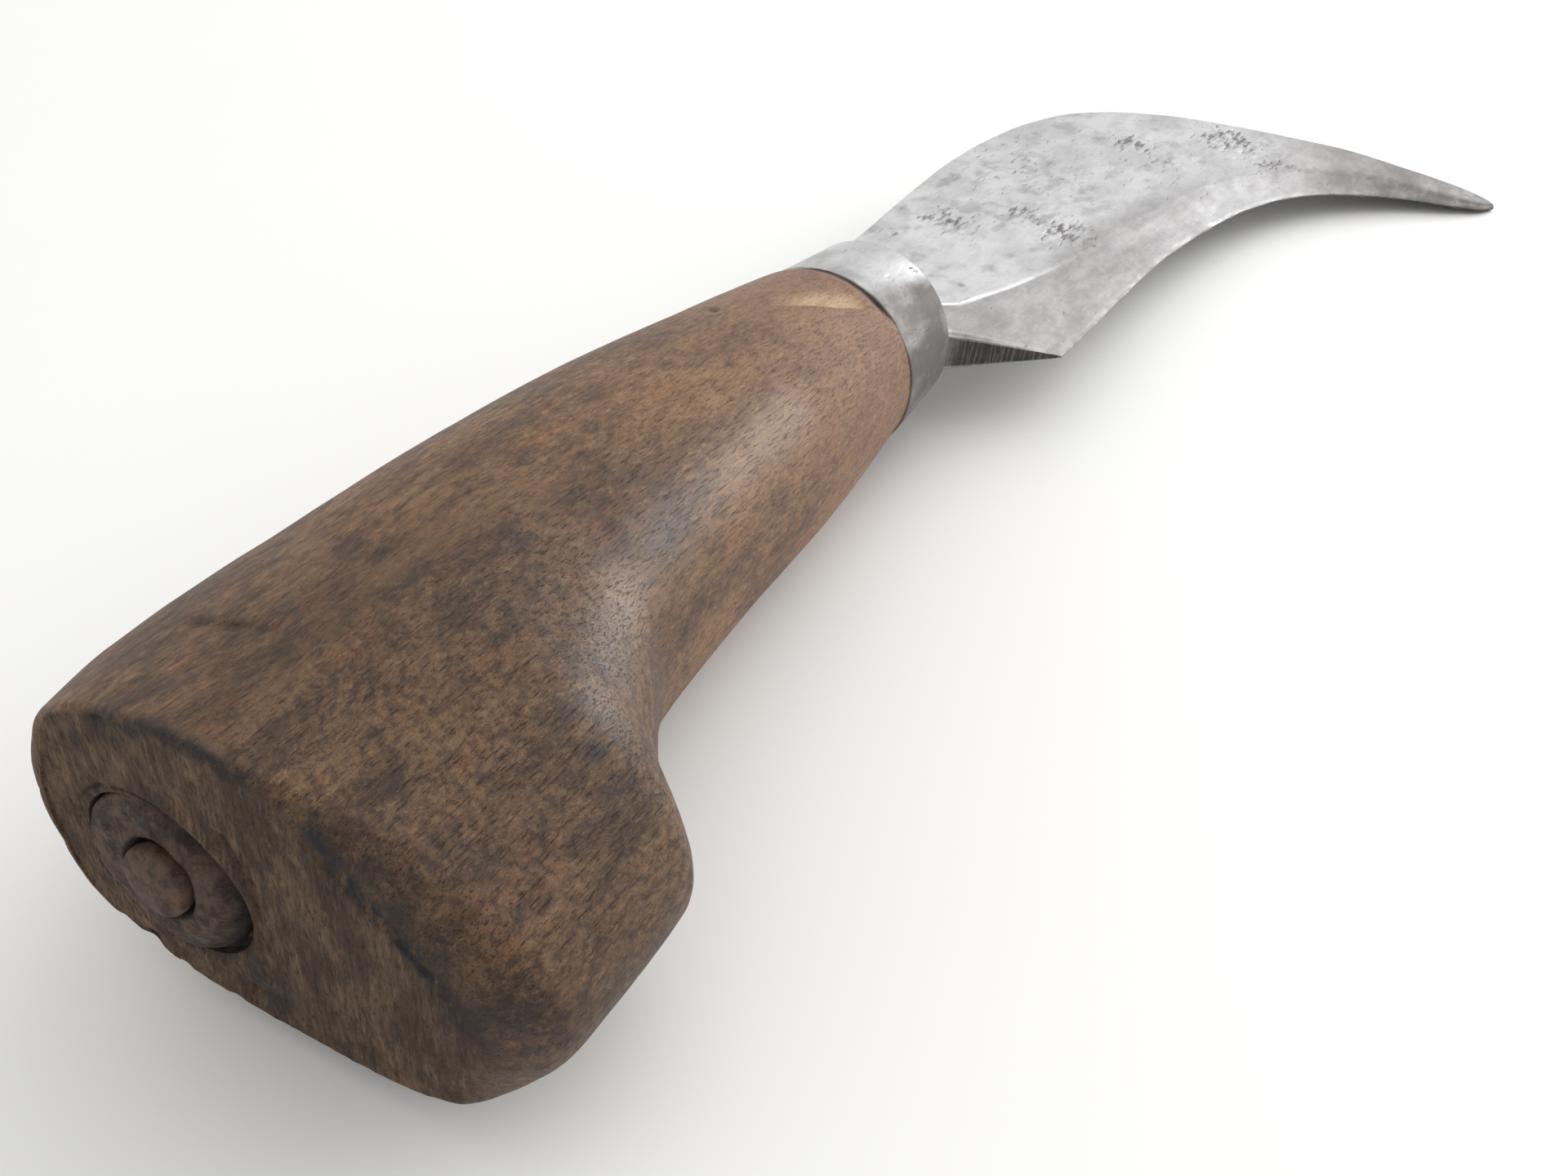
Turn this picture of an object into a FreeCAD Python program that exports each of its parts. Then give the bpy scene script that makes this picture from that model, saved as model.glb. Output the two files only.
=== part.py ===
import FreeCAD, Part
import math
import os

from FreeCAD import Vector

# Hand sickle with a hooked blade, a through tang and a boot-shaped wooden handle.
# Everything is drawn in the tool's own frame, in mm: X runs along the tang towards the blade from the
# ferrule's rear rim, Y towards the blade's spine and Z out of the blade's flat. At the end the whole tool
# is laid down on the ground, where Z is up.

# ---- driving dimensions ----
GRIP_LENGTH = 113.7          # ferrule's rear rim to the butt
FERRULE_LENGTH = 14.5
FERRULE_REAR_R = 14.7        # outside
FERRULE_FRONT_R = 13.55      # outside
FERRULE_WALL = 0.8
NOSE_CLEARANCE = 0.05        # wood to the inside of the ferrule
NOSE_SETBACK = 0.3           # wood stops this far inside the ferrule's front rim

# Distance behind the ferrule, spine side, toe side, half thickness.
HANDLE_STATIONS = (
    (0.0, 14.7, -14.4, 15.0),
    (24.0, 18.1, -17.3, 17.5),
    (47.0, 20.9, -18.5, 19.0),
    (68.0, 21.7, -20.8, 19.9),
    (80.0, 22.5, -27.7, 20.1),
    (89.0, 23.3, -37.6, 19.8),
    (97.0, 23.4, -38.2, 19.2),
    (105.0, 22.9, -38.4, 18.6),
    (110.0, 21.6, -37.4, 18.4),
    (112.5, 20.4, -36.0, 18.0),
    (113.7, 19.2, -34.4, 17.2),
)
SECTION_SQUARENESS_FRONT = 2.0   # exponent 2 is an ellipse
SECTION_SQUARENESS_BUTT = 2.15
SECTION_POINTS = 36
SHAPE_ONSET = 4                  # the butt's own shape grows in with this power of the way along the grip
FACE_ONSET = 8                   # and the tilt of its face with this one
TOE_THINNING = 0.13              # share of the thickness lost at the toe and gained at the spine side
SPINE_LEAN = 1.2                 # the spine side of the butt leans in this much at the top, out below
LONG_GAP = 4                     # stations further apart than this get one more between them
BUTT_LEAN_Y = -0.089             # the butt face runs forwards towards the toe
BUTT_LEAN_Z = 0.032

# Blade stations from the heel to the point: spine x and y, cutting edge x and y,
# width of the edge bevel, thickness of the body.
BLADE_STATIONS = (
    (22.1, 12.9, 26.5, -27.6, 17.5, 7.4),
    (37.1, 14.3, 38.6, -28.0, 14.0, 5.8),
    (54.1, 15.9, 55.6, -28.3, 11.0, 4.6),
    (73.1, 17.1, 75.1, -29.4, 9.4, 3.9),
    (90.1, 16.6, 93.1, -32.3, 8.8, 3.5),
    (106.1, 14.1, 104.1, -35.1, 8.8, 3.2),
    (119.6, 8.8, 113.6, -38.9, 8.8, 3.0),
    (130.6, -0.6, 120.6, -43.4, 8.6, 2.8),
    (138.6, -14.0, 126.6, -49.2, 8.2, 2.6),
    (144.1, -27.8, 130.7, -54.8, 7.6, 2.4),
    (147.4, -40.5, 133.5, -59.5, 6.4, 2.2),
    (148.4, -52.0, 135.7, -63.9, 4.6, 2.0),
    (147.9, -62.0, 138.1, -69.0, 2.5, 1.7),
    (146.3, -71.0, 141.6, -74.0, 1.2, 1.4),
    (145.2, -73.4, 143.3, -75.0, 0.6, 1.2),
)
EDGE_THICKNESS = 0.5
SPINE_EASING = 0.8               # the spine's corners are eased by this much
EASING_OF_WIDTH = 1 / 6          # but by no more than this share of the blade's width
EASING_OF_THICKNESS = 1 / 3      # nor this share of its thickness
SHOULDER_THINNING = 0.94         # the body keeps this share of its thickness where the bevel starts

NECK_WIDTH = 23.2                # where the blade meets the wooden nose
NECK_THICKNESS = 7.8
TANG_FRONT_WIDTH = 11.0
TANG_FRONT_THICKNESS = 7.0
TANG_REAR_SIZE = 5.0
TANG_CLEARANCE = 0.1
TANG_END_Y = 3.4                 # the tang leaves the butt here
TANG_END_Z = -2.4
SHANK_R = 2.9
SHANK_REACH = 4.0                # the round end runs this far back into the bar
BAR_STOP = 1.6                   # the square bar ends this far short of the rove

ROVE_R = 9.4
ROVE_THICKNESS = 2.2             # at the rim
ROVE_CROWN = 1.0                 # the domed face rises this much from the rim to the countersink
ROVE_RIM_EASING = 0.8
ROVE_SHOULDER_R = 0.7            # the dome's shoulder lies at this share of the rove's radius
ROVE_SHOULDER_RISE = 0.7         # and at this share of the crown
ROVE_SEAT_R = 3.0                # hole at the back of the rove
COUNTERSINK_R = 4.4              # hole at the face of the rove
ROVE_NORMAL = Vector(-0.985, -0.053, 0.164)   # the rove sits askew in its recess
ROVE_SINK = 0.3                  # middle of the rim lies this far below the butt face
RECESS_R = 10.0
RIVET_HEAD_R = 4.2               # the peened tang end stands proud of the rove as a low knob
RIVET_HEIGHT = 1.0
RIVET_EASING = 0.4
RIVET_DOME = 0.3
DOME_SHOULDER_R = 0.6            # the dome turns over at this share of its radius
DOME_SHOULDER_RISE = 0.8         # and at this share of its rise
RIVET_CLEARANCE = 0.05

REST_ROLL = 5.74                 # degrees the toe hangs below the spine side when the tool lies down
REST_PITCH = 3.27                # degrees the blade dips when the tool lies down

AXIS_X = Vector(1, 0, 0)
AXIS_Y = Vector(0, 1, 0)
ORIGIN = Vector(0, 0, 0)


def smooth_slopes(xs, ys):
    """Slopes of a curve through the points that never overshoots them."""
    count = len(xs)
    secants = [(ys[i + 1] - ys[i]) / (xs[i + 1] - xs[i]) for i in range(count - 1)]
    slopes = [secants[0]]
    for i in range(1, count - 1):
        before = secants[i - 1]
        after = secants[i]
        if before * after <= 0:
            slopes.append(0.0)
        else:
            slopes.append(2 * before * after / (before + after))
    slopes.append(secants[-1])
    return slopes


def smooth_curve(xs, ys, x):
    """Value at x of the smooth curve through the points."""
    slopes = smooth_slopes(xs, ys)
    i = 0
    while i < len(xs) - 2 and x > xs[i + 1]:
        i += 1
    span = xs[i + 1] - xs[i]
    t = (x - xs[i]) / span
    return (
        (1 + 2 * t) * (1 - t) ** 2 * ys[i]
        + t * (1 - t) ** 2 * span * slopes[i]
        + t * t * (3 - 2 * t) * ys[i + 1]
        + t * t * (t - 1) * span * slopes[i + 1]
    )


def signed_power(value, power):
    return math.copysign(abs(value) ** power, value)


def handle_section(back):
    """Closed smooth wire round the handle, this far behind the ferrule's rear rim."""
    distances = [row[0] for row in HANDLE_STATIONS]
    spine_y = smooth_curve(distances, [row[1] for row in HANDLE_STATIONS], back)
    toe_y = smooth_curve(distances, [row[2] for row in HANDLE_STATIONS], back)
    half = smooth_curve(distances, [row[3] for row in HANDLE_STATIONS], back)
    share = back / GRIP_LENGTH
    squareness = SECTION_SQUARENESS_FRONT + (SECTION_SQUARENESS_BUTT - SECTION_SQUARENESS_FRONT) * share
    middle = (spine_y + toe_y) / 2
    reach = (spine_y - toe_y) / 2
    thinning = TOE_THINNING * share ** SHAPE_ONSET
    spine_lean = SPINE_LEAN * share ** SHAPE_ONSET
    face_lean = share ** FACE_ONSET
    points = []
    for k in range(SECTION_POINTS):
        angle = 2 * math.pi * k / SECTION_POINTS
        across = signed_power(math.cos(angle), 2 / squareness)
        up = signed_power(math.sin(angle), 2 / squareness)
        y = middle + reach * across - spine_lean * up * max(0, across)
        z = half * up * (1 + thinning * across)
        x = -back + face_lean * (BUTT_LEAN_Y * y + BUTT_LEAN_Z * z)
        points.append(Vector(x, y, z))
    curve = Part.BSplineCurve()
    curve.interpolate(points, PeriodicFlag=True)
    return Part.Wire([curve.toShape()])


def loft_distances():
    """The stations themselves, with one more halfway along each long gap."""
    listed = [row[0] for row in HANDLE_STATIONS]
    result = [listed[0]]
    for before, after in zip(listed, listed[1:]):
        if after - before > LONG_GAP:
            result.append((before + after) / 2)
        result.append(after)
    return result


def handle_nose():
    """Cone of wood inside the ferrule."""
    length = FERRULE_LENGTH - NOSE_SETBACK
    rear = FERRULE_REAR_R - FERRULE_WALL - NOSE_CLEARANCE
    front = FERRULE_FRONT_R - FERRULE_WALL - NOSE_CLEARANCE
    front += (rear - front) * NOSE_SETBACK / FERRULE_LENGTH
    return Part.makeCone(rear, front, length, ORIGIN, AXIS_X)


def box_wire(x, middle_y, middle_z, width, thickness):
    """Rectangle standing across X."""
    corners = []
    for side_y, side_z in ((-1, -1), (1, -1), (1, 1), (-1, 1)):
        y = middle_y + side_y * width / 2
        z = middle_z + side_z * thickness / 2
        corners.append(Vector(x, y, z))
    return Part.makePolygon(corners + corners[:1])


def neck_x():
    return FERRULE_LENGTH - NOSE_SETBACK


def rove_centre():
    """Middle of the rove's rim, a little below the butt face."""
    face_x = -GRIP_LENGTH + BUTT_LEAN_Y * TANG_END_Y + BUTT_LEAN_Z * TANG_END_Z
    return Vector(face_x, TANG_END_Y, TANG_END_Z) - ROVE_NORMAL * ROVE_SINK


def tang_bar(extra):
    """Square bar from the neck to just short of the rove, grown by extra all round."""
    front = box_wire(
        neck_x(), 0, 0, TANG_FRONT_WIDTH + 2 * extra, TANG_FRONT_THICKNESS + 2 * extra
    )
    rear_x = rove_centre().x + ROVE_THICKNESS + BAR_STOP
    rear_size = TANG_REAR_SIZE + 2 * extra
    rear = box_wire(rear_x, TANG_END_Y, TANG_END_Z, rear_size, rear_size)
    return Part.makeLoft([front, rear], True, True)


def shank(radius):
    """Round end of the tang, from inside the bar to the back of the rove and square to the rove."""
    inner = rove_centre() - ROVE_NORMAL * (ROVE_THICKNESS + SHANK_REACH)
    return Part.makeCylinder(radius, SHANK_REACH, inner, ROVE_NORMAL)


def make_handle():
    sections = [handle_section(back) for back in loft_distances()]
    body = Part.makeLoft(sections, True, False)
    wood = body.fuse(handle_nose())
    recess_floor = rove_centre() - ROVE_NORMAL * ROVE_THICKNESS
    recess = Part.makeCylinder(RECESS_R, 4 * ROVE_THICKNESS, recess_floor, ROVE_NORMAL)
    wood = wood.cut(recess)
    wood = wood.cut(tang_bar(TANG_CLEARANCE))
    wood = wood.cut(shank(SHANK_R + TANG_CLEARANCE))
    return wood.removeSplitter()


def make_ferrule():
    """Tapered tube."""
    outside = Part.makeCone(FERRULE_REAR_R, FERRULE_FRONT_R, FERRULE_LENGTH, ORIGIN, AXIS_X)
    inside = Part.makeCone(
        FERRULE_REAR_R - FERRULE_WALL, FERRULE_FRONT_R - FERRULE_WALL, FERRULE_LENGTH, ORIGIN, AXIS_X
    )
    return outside.cut(inside)


def blade_section(station):
    """Eight-cornered wire from the spine to the cutting edge, flat body then bevel."""
    spine_x, spine_y, edge_x, edge_y, bevel, thickness = station
    spine = Vector(spine_x, spine_y, 0)
    edge = Vector(edge_x, edge_y, 0)
    inward = edge - spine
    width = inward.Length
    inward.normalize()
    ease = min(SPINE_EASING, width * EASING_OF_WIDTH, thickness * EASING_OF_THICKNESS)
    half = thickness / 2
    shoulder = edge - inward * bevel
    upper = [
        spine + Vector(0, 0, half - ease),
        spine + inward * ease + Vector(0, 0, half),
        shoulder + Vector(0, 0, half * SHOULDER_THINNING),
        edge + Vector(0, 0, EDGE_THICKNESS / 2),
    ]
    lower = [Vector(p.x, p.y, -p.z) for p in reversed(upper)]
    corners = upper + lower
    return Part.makePolygon(corners + corners[:1])


def neck_section():
    """The same eight corners at the ferrule's mouth, where the blade is a thick bar."""
    half_width = NECK_WIDTH / 2
    half = NECK_THICKNESS / 2
    x = neck_x()
    upper = [
        Vector(x, half_width, half - SPINE_EASING),
        Vector(x, half_width - SPINE_EASING, half),
        Vector(x, -half_width + SPINE_EASING, half),
        Vector(x, -half_width, half - SPINE_EASING),
    ]
    lower = [Vector(p.x, p.y, -p.z) for p in reversed(upper)]
    corners = upper + lower
    return Part.makePolygon(corners + corners[:1])


def turned(profile):
    """Solid turned from (radius, height) points and set in the rove's place, rim plane at height 0."""
    points = [Vector(radius, 0, height) for radius, height in profile]
    face = Part.Face(Part.makePolygon(points + points[:1]))
    solid = face.revolve(ORIGIN, Vector(0, 0, 1), 360)
    turn = FreeCAD.Rotation(Vector(0, 0, 1), ROVE_NORMAL)
    solid.Placement = FreeCAD.Placement(rove_centre(), turn)
    return solid


def countersink_radius(height):
    """Radius of the rove's hole at this height above its rim plane."""
    share = (height + ROVE_THICKNESS) / (ROVE_CROWN + ROVE_THICKNESS)
    return ROVE_SEAT_R + (COUNTERSINK_R - ROVE_SEAT_R) * share


def rivet():
    """Peened tang end: it fills the rove's countersink and stands proud of it as a low domed knob."""
    seat = ROVE_CROWN - RIVET_CLEARANCE
    seat_r = countersink_radius(seat) - RIVET_CLEARANCE
    top = ROVE_CROWN + RIVET_HEIGHT
    return turned((
        (0, -ROVE_THICKNESS),
        (SHANK_R, -ROVE_THICKNESS),
        (seat_r, seat),
        (RIVET_HEAD_R, ROVE_CROWN),
        (RIVET_HEAD_R, top - RIVET_EASING),
        (RIVET_HEAD_R - RIVET_EASING, top),
        (RIVET_HEAD_R * DOME_SHOULDER_R, top + RIVET_DOME * DOME_SHOULDER_RISE),
        (0, top + RIVET_DOME),
    ))


def make_blade():
    """Blade, neck, tang and peened tang end, all one forging."""
    sections = [blade_section(station) for station in BLADE_STATIONS]
    steel = Part.makeLoft([neck_section(), sections[0]], True, True)
    for piece in (tang_bar(0.0), shank(SHANK_R), rivet(), Part.makeLoft(sections, True, False)):
        steel = steel.fuse(piece)
    return steel.removeSplitter()


def make_rove():
    """Thick domed washer with a countersunk hole."""
    return turned((
        (ROVE_SEAT_R, -ROVE_THICKNESS),
        (ROVE_R, -ROVE_THICKNESS),
        (ROVE_R, -ROVE_RIM_EASING),
        (ROVE_R - ROVE_RIM_EASING, 0),
        (ROVE_R * ROVE_SHOULDER_R, ROVE_CROWN * ROVE_SHOULDER_RISE),
        (COUNTERSINK_R, ROVE_CROWN),
    ))


def laid_down(shapes):
    """All the pieces as the tool lies on the ground, with the origin under the middle of its footprint."""
    for shape in shapes.values():
        shape.rotate(ORIGIN, AXIS_X, REST_ROLL)
        shape.rotate(ORIGIN, AXIS_Y, REST_PITCH)
    box = Part.makeCompound(list(shapes.values())).optimalBoundingBox(False, False)
    shift = Vector(-box.Center.x, -box.Center.y, -box.ZMin)
    for shape in shapes.values():
        shape.translate(shift)
    print("origin of the tool's own frame lies at", shift)
    return shapes


def main():
    pieces = {
        "handle": make_handle(),
        "ferrule": make_ferrule(),
        "blade": make_blade(),
        "rove": make_rove(),
    }
    os.makedirs("parts", exist_ok=True)
    for name, shape in laid_down(pieces).items():
        box = shape.BoundBox
        print(name, shape.ShapeType, len(shape.Solids), shape.isValid(), round(shape.Volume), box)
        shape.exportStep("parts/" + name + ".step")


main()
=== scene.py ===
import math
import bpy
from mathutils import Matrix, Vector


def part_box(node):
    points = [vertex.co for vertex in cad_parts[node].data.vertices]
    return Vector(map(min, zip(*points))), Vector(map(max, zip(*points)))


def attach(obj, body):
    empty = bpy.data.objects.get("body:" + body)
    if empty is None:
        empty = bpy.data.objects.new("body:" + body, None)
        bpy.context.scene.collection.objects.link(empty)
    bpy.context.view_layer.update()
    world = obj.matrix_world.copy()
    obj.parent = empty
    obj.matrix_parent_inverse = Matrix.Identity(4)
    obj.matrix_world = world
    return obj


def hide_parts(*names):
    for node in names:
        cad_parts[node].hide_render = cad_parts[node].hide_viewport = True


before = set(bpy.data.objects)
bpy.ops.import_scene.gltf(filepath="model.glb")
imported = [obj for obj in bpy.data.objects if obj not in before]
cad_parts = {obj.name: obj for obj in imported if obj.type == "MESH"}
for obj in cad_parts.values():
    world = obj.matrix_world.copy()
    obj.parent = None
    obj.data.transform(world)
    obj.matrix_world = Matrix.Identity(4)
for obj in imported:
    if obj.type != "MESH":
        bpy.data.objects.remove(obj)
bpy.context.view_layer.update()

from types import SimpleNamespace

import bpy
import numpy as np
from mathutils import Matrix, Vector

# Hand sickle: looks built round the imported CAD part.
# Each piece is drawn in the tool's own frame, in mm: X runs along the tang towards the blade from the
# ferrule's rear rim, Y towards the blade's spine and Z out of the blade's flat. Its points are brought to
# the CAD's frame when its mesh is made. Each point also keeps its place in the tool's own frame, as the
# attribute "tool_place", and the materials read it.

MM = 0.001
REST_ROLL = math.radians(5.74)   # the toe hangs below the spine side
REST_PITCH = math.radians(3.27)  # the blade dips

GRIP_LENGTH = 113.7
FERRULE_LENGTH = 14.5
FERRULE_REAR_R = 14.7
FERRULE_FRONT_R = 13.55
FERRULE_WALL = 0.8
NECK_X = 14.2                    # where the blade leaves the wooden nose

ROVE_NORMAL = np.array([-0.985, -0.053, 0.164])
ROVE_R = 9.4
ROVE_THICKNESS = 2.2
ROVE_CROWN = 1.0
ROVE_SINK = 0.3
RECESS_R = 10.0
COUNTERSINK_R = 4.4
SEAT_R = 3.0
KNOB_R = 3.8
KNOB_HEIGHT = 1.0
KNOB_DOME = 0.3
TANG_END_Y = 3.4
TANG_END_Z = -2.4
SHANK_R = 2.9
BUTT_LEAN_Y = -0.089
BUTT_LEAN_Z = 0.032
BUTT_MARKS_X = -112.0            # marks behind this lie on the butt face

ROVE_ACROSS = np.cross(ROVE_NORMAL, [0, 0, 1.0])
ROVE_ACROSS /= np.linalg.norm(ROVE_ACROSS)
ROVE_DOWN = np.cross(ROVE_NORMAL, ROVE_ACROSS)
TOEWARDS = np.array([0, -0.95, 0.3])


# ---------------------------------------------------------------- numbers and shapes

def lattice(x, y, z, seed):
    """Repeatable random numbers from 0 to 1 for whole-number places."""
    n = x * 374761393 + y * 668265263 + z * 1440662683 + seed * 974711
    n = (n ^ (n >> 13)) * 1274126177
    return ((n ^ (n >> 16)) & 0xFFFF) / 0xFFFF


def noise(points, grain, seed=0):
    """Smooth noise from -1 to 1 at points of any array shape; grain is the size of a blob in mm."""
    scaled = points / np.asarray(grain, float)
    cell = np.floor(scaled).astype(np.int64)
    t = scaled - cell
    t = t * t * (3 - 2 * t)
    total = np.zeros(points.shape[:-1])
    for dx in (0, 1):
        for dy in (0, 1):
            for dz in (0, 1):
                wx = t[..., 0] if dx else 1 - t[..., 0]
                wy = t[..., 1] if dy else 1 - t[..., 1]
                wz = t[..., 2] if dz else 1 - t[..., 2]
                value = lattice(cell[..., 0] + dx, cell[..., 1] + dy, cell[..., 2] + dz, seed)
                total += wx * wy * wz * value
    return total * 2 - 1


def fractal(points, grain, octaves, seed=0):
    """Noise at several scales, each half the size and a little over half the strength of the last."""
    total = np.zeros(points.shape[:-1])
    strength = 1.0
    size = np.asarray(grain, float) * np.ones(3)
    for k in range(octaves):
        total += strength * noise(points, size, seed + 31 * k)
        strength *= 0.55
        size = size * 0.5
    return total


def smoothstep(low, high, x):
    """0 at low and 1 at high, turning smoothly between them and held outside."""
    t = np.clip((x - low) / (high - low), 0, 1)
    return t * t * (3 - 2 * t)


def slopes_between(xs, ys, keep_inside):
    """Slope of a smooth curve at each of its points; keep_inside stops it overshooting them."""
    steps = np.diff(xs)
    secants = np.diff(ys) / steps
    slopes = np.empty(len(xs))
    slopes[0] = secants[0]
    slopes[-1] = secants[-1]
    before = secants[:-1]
    after = secants[1:]
    if keep_inside:
        product = before * after
        total = np.where(before + after == 0, 1, before + after)
        slopes[1:-1] = np.where(product <= 0, 0, 2 * product / total)
    else:
        slopes[1:-1] = (before * steps[1:] + after * steps[:-1]) / (steps[:-1] + steps[1:])
    return slopes


def smooth_curve(xs, ys, x, keep_inside=True):
    """Values at x of the smooth curve through the points."""
    xs = np.asarray(xs, float)
    ys = np.asarray(ys, float)
    slopes = slopes_between(xs, ys, keep_inside)
    i = np.clip(np.searchsorted(xs, x, side="right") - 1, 0, len(xs) - 2)
    span = xs[i + 1] - xs[i]
    t = (x - xs[i]) / span
    return (
        (1 + 2 * t) * (1 - t) ** 2 * ys[i]
        + t * (1 - t) ** 2 * span * slopes[i]
        + t * t * (3 - 2 * t) * ys[i + 1]
        + t * t * (t - 1) * span * slopes[i + 1]
    )


def signed_power(value, power):
    return np.sign(value) * np.abs(value) ** power


def grid_normals(rings, loop):
    """Unit normals of a grid of rings, pointing the way the grid's own order gives."""
    along = np.roll(rings, -1, 0) - np.roll(rings, 1, 0)
    if not loop:
        along[0] = rings[1] - rings[0]
        along[-1] = rings[-1] - rings[-2]
    around = np.roll(rings, -1, 1) - np.roll(rings, 1, 1)
    normals = np.cross(around, along)
    length = np.linalg.norm(normals, axis=-1, keepdims=True)
    return normals / np.maximum(length, 1e-9)


def across_surface(gap, place):
    """gap with most of its part square to the wood taken out, so that marks follow the surface."""
    out = np.array([-1.0, 0, 0]) if place[0] < BUTT_MARKS_X else np.array([0, place[1], place[2]])
    out = out / max(np.linalg.norm(out), 1e-6)
    return gap - 0.85 * (gap @ out)[..., None] * out


def near(points, place, radius):
    """1 at a place on the surface, falling smoothly to 0 about two radii away."""
    gap = across_surface(points - np.asarray(place, float), place) / radius
    return np.exp(-(gap ** 2).sum(-1))


def near_line(points, start, end, half_width, flatten=True):
    """1 on a straight line drawn on the surface, falling smoothly to 0 beside it."""
    start = np.asarray(start, float)
    run = np.asarray(end, float) - start
    t = np.clip(((points - start) @ run) / (run @ run), 0, 1)
    gap = points - start - t[..., None] * run
    if flatten:
        gap = across_surface(gap, start)
    return np.exp(-(gap ** 2).sum(-1) / half_width ** 2)


def tool_to_world():
    """Where the tool's own frame lies, read from the ferrule, whose rear rim is centred on its origin."""
    low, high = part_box("ferrule")
    origin = Vector((
        low[0] + FERRULE_REAR_R * MM * math.sin(REST_PITCH),
        (low[1] + high[1]) / 2,
        (low[2] + high[2]) / 2,
    ))
    turn = Matrix.Rotation(REST_PITCH, 4, "Y") @ Matrix.Rotation(REST_ROLL, 4, "X")
    return Matrix.Translation(origin) @ turn


TOOL_TO_WORLD = tool_to_world()


def in_world(points):
    """Points of the tool's frame, in mm, brought to the CAD's frame, in metres."""
    turn = np.array(TOOL_TO_WORLD)
    return points * MM @ turn[:3, :3].T + turn[:3, 3]


def rove_centre():
    """Middle of the rove's rim, just under the butt face."""
    face_x = -GRIP_LENGTH + BUTT_LEAN_Y * TANG_END_Y + BUTT_LEAN_Z * TANG_END_Z
    return np.array([face_x, TANG_END_Y, TANG_END_Z]) - ROVE_NORMAL * ROVE_SINK


def rove_circle(bearing):
    """Unit steps out from the rove's middle at these bearings."""
    return np.cos(bearing)[:, None] * ROVE_ACROSS + np.sin(bearing)[:, None] * ROVE_DOWN


def ring_faces(rings, count, loop):
    """Four-cornered faces between neighbouring rings."""
    faces = []
    last = rings if loop else rings - 1
    for r in range(last):
        here = r * count
        there = ((r + 1) % rings) * count
        for c in range(count):
            d = (c + 1) % count
            faces.append((here + c, here + d, there + d, there + c))
    return faces


def piece_from_rings(name, rings, loop, marks, material, cad_node, sharp_angle):
    """Closed, smooth-shaded object from a grid of rings in mm, with its painted masks and its CAD links."""
    ring_count, count, _ = rings.shape
    points = rings.reshape(-1, 3)
    faces = ring_faces(ring_count, count, loop)
    masks = {key: value.reshape(-1) for key, value in marks.items()}
    if not loop:
        for ring in (0, ring_count - 1):
            centre = len(points)
            points = np.vstack([points, rings[ring].mean(0)])
            for key in masks:
                masks[key] = np.append(masks[key], masks[key][ring * count])
            for c in range(count):
                d = (c + 1) % count
                corner = (ring * count + d, ring * count + c, centre)
                faces.append(corner if ring == 0 else corner[::-1])
    mesh = bpy.data.meshes.new(name)
    mesh.from_pydata(in_world(points).tolist(), [], faces)
    layer = mesh.attributes.new("tool_place", "FLOAT_VECTOR", "POINT")
    layer.data.foreach_set("vector", points.astype(np.float32).reshape(-1))
    for key, value in masks.items():
        layer = mesh.attributes.new(key, "FLOAT", "POINT")
        layer.data.foreach_set("value", value.astype(np.float32))
    if signed_volume(points, faces) < 0:
        mesh.flip_normals()
    mesh.shade_smooth()
    mesh.set_sharp_from_angle(angle=math.radians(sharp_angle))
    made = bpy.data.objects.new(name, mesh)
    mesh.materials.append(material)
    bpy.context.collection.objects.link(made)
    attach(made, "root")
    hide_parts(cad_node)
    return made


def signed_volume(points, faces):
    """Six times the volume under the four-cornered faces; negative for a shape that is inside out."""
    total = 0.0
    quads = np.array([f for f in faces if len(f) == 4])
    a, b, c, d = (points[quads[:, k]] for k in range(4))
    total += np.einsum("ij,ij->", a, np.cross(b, c))
    total += np.einsum("ij,ij->", a, np.cross(c, d))
    return total


# ---------------------------------------------------------------- material tools

class Value:
    """A number, place or colour inside a material; arithmetic on it adds the nodes that work it out."""

    def __init__(self, socket):
        self.socket = socket
        self.tree = socket.id_data

    def math(self, operation, other=0.0):
        return result(self.tree, "ShaderNodeMath", {0: self, 1: other}, operation=operation)

    def __add__(self, other):
        return self.math("ADD", other)

    def __sub__(self, other):
        return self.math("SUBTRACT", other)

    def __mul__(self, other):
        return self.math("MULTIPLY", other)


def node(tree, kind, inputs=None, **settings):
    """New shader node; an input given as a Value is linked and anything else is set."""
    made = tree.nodes.new(kind)
    for name, value in settings.items():
        setattr(made, name, value)
    for key, value in (inputs or {}).items():
        if isinstance(value, Value):
            tree.links.new(value.socket, made.inputs[key])
        else:
            made.inputs[key].default_value = value
    return made


def result(tree, kind, inputs=None, output=0, **settings):
    """What a new shader node gives."""
    return Value(node(tree, kind, inputs, **settings).outputs[output])


def tool_place(tree):
    """Place in the tool's frame, in mm."""
    return result(tree, "ShaderNodeAttribute", output="Vector", attribute_name="tool_place")


def mask(tree, name):
    """One of the masks painted on the mesh."""
    return result(tree, "ShaderNodeAttribute", output="Fac", attribute_name=name)


def vectors(operation, a, b=(0, 0, 0), output=0):
    return result(a.tree, "ShaderNodeVectorMath", {0: a, 1: b}, output, operation=operation)


def blobs(place, grain, detail=2.0, rough=0.5, shift=(0, 0, 0)):
    """Noise from 0 to 1 whose blobs have these sizes along X, Y and Z, in the units of place."""
    mapping = {"Vector": place, "Location": shift, "Scale": tuple(1 / size for size in grain)}
    scaled = result(place.tree, "ShaderNodeMapping", mapping)
    settings = {"Vector": scaled, "Scale": 1.0, "Detail": detail, "Roughness": rough}
    return result(place.tree, "ShaderNodeTexNoise", settings, "Fac")


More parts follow.
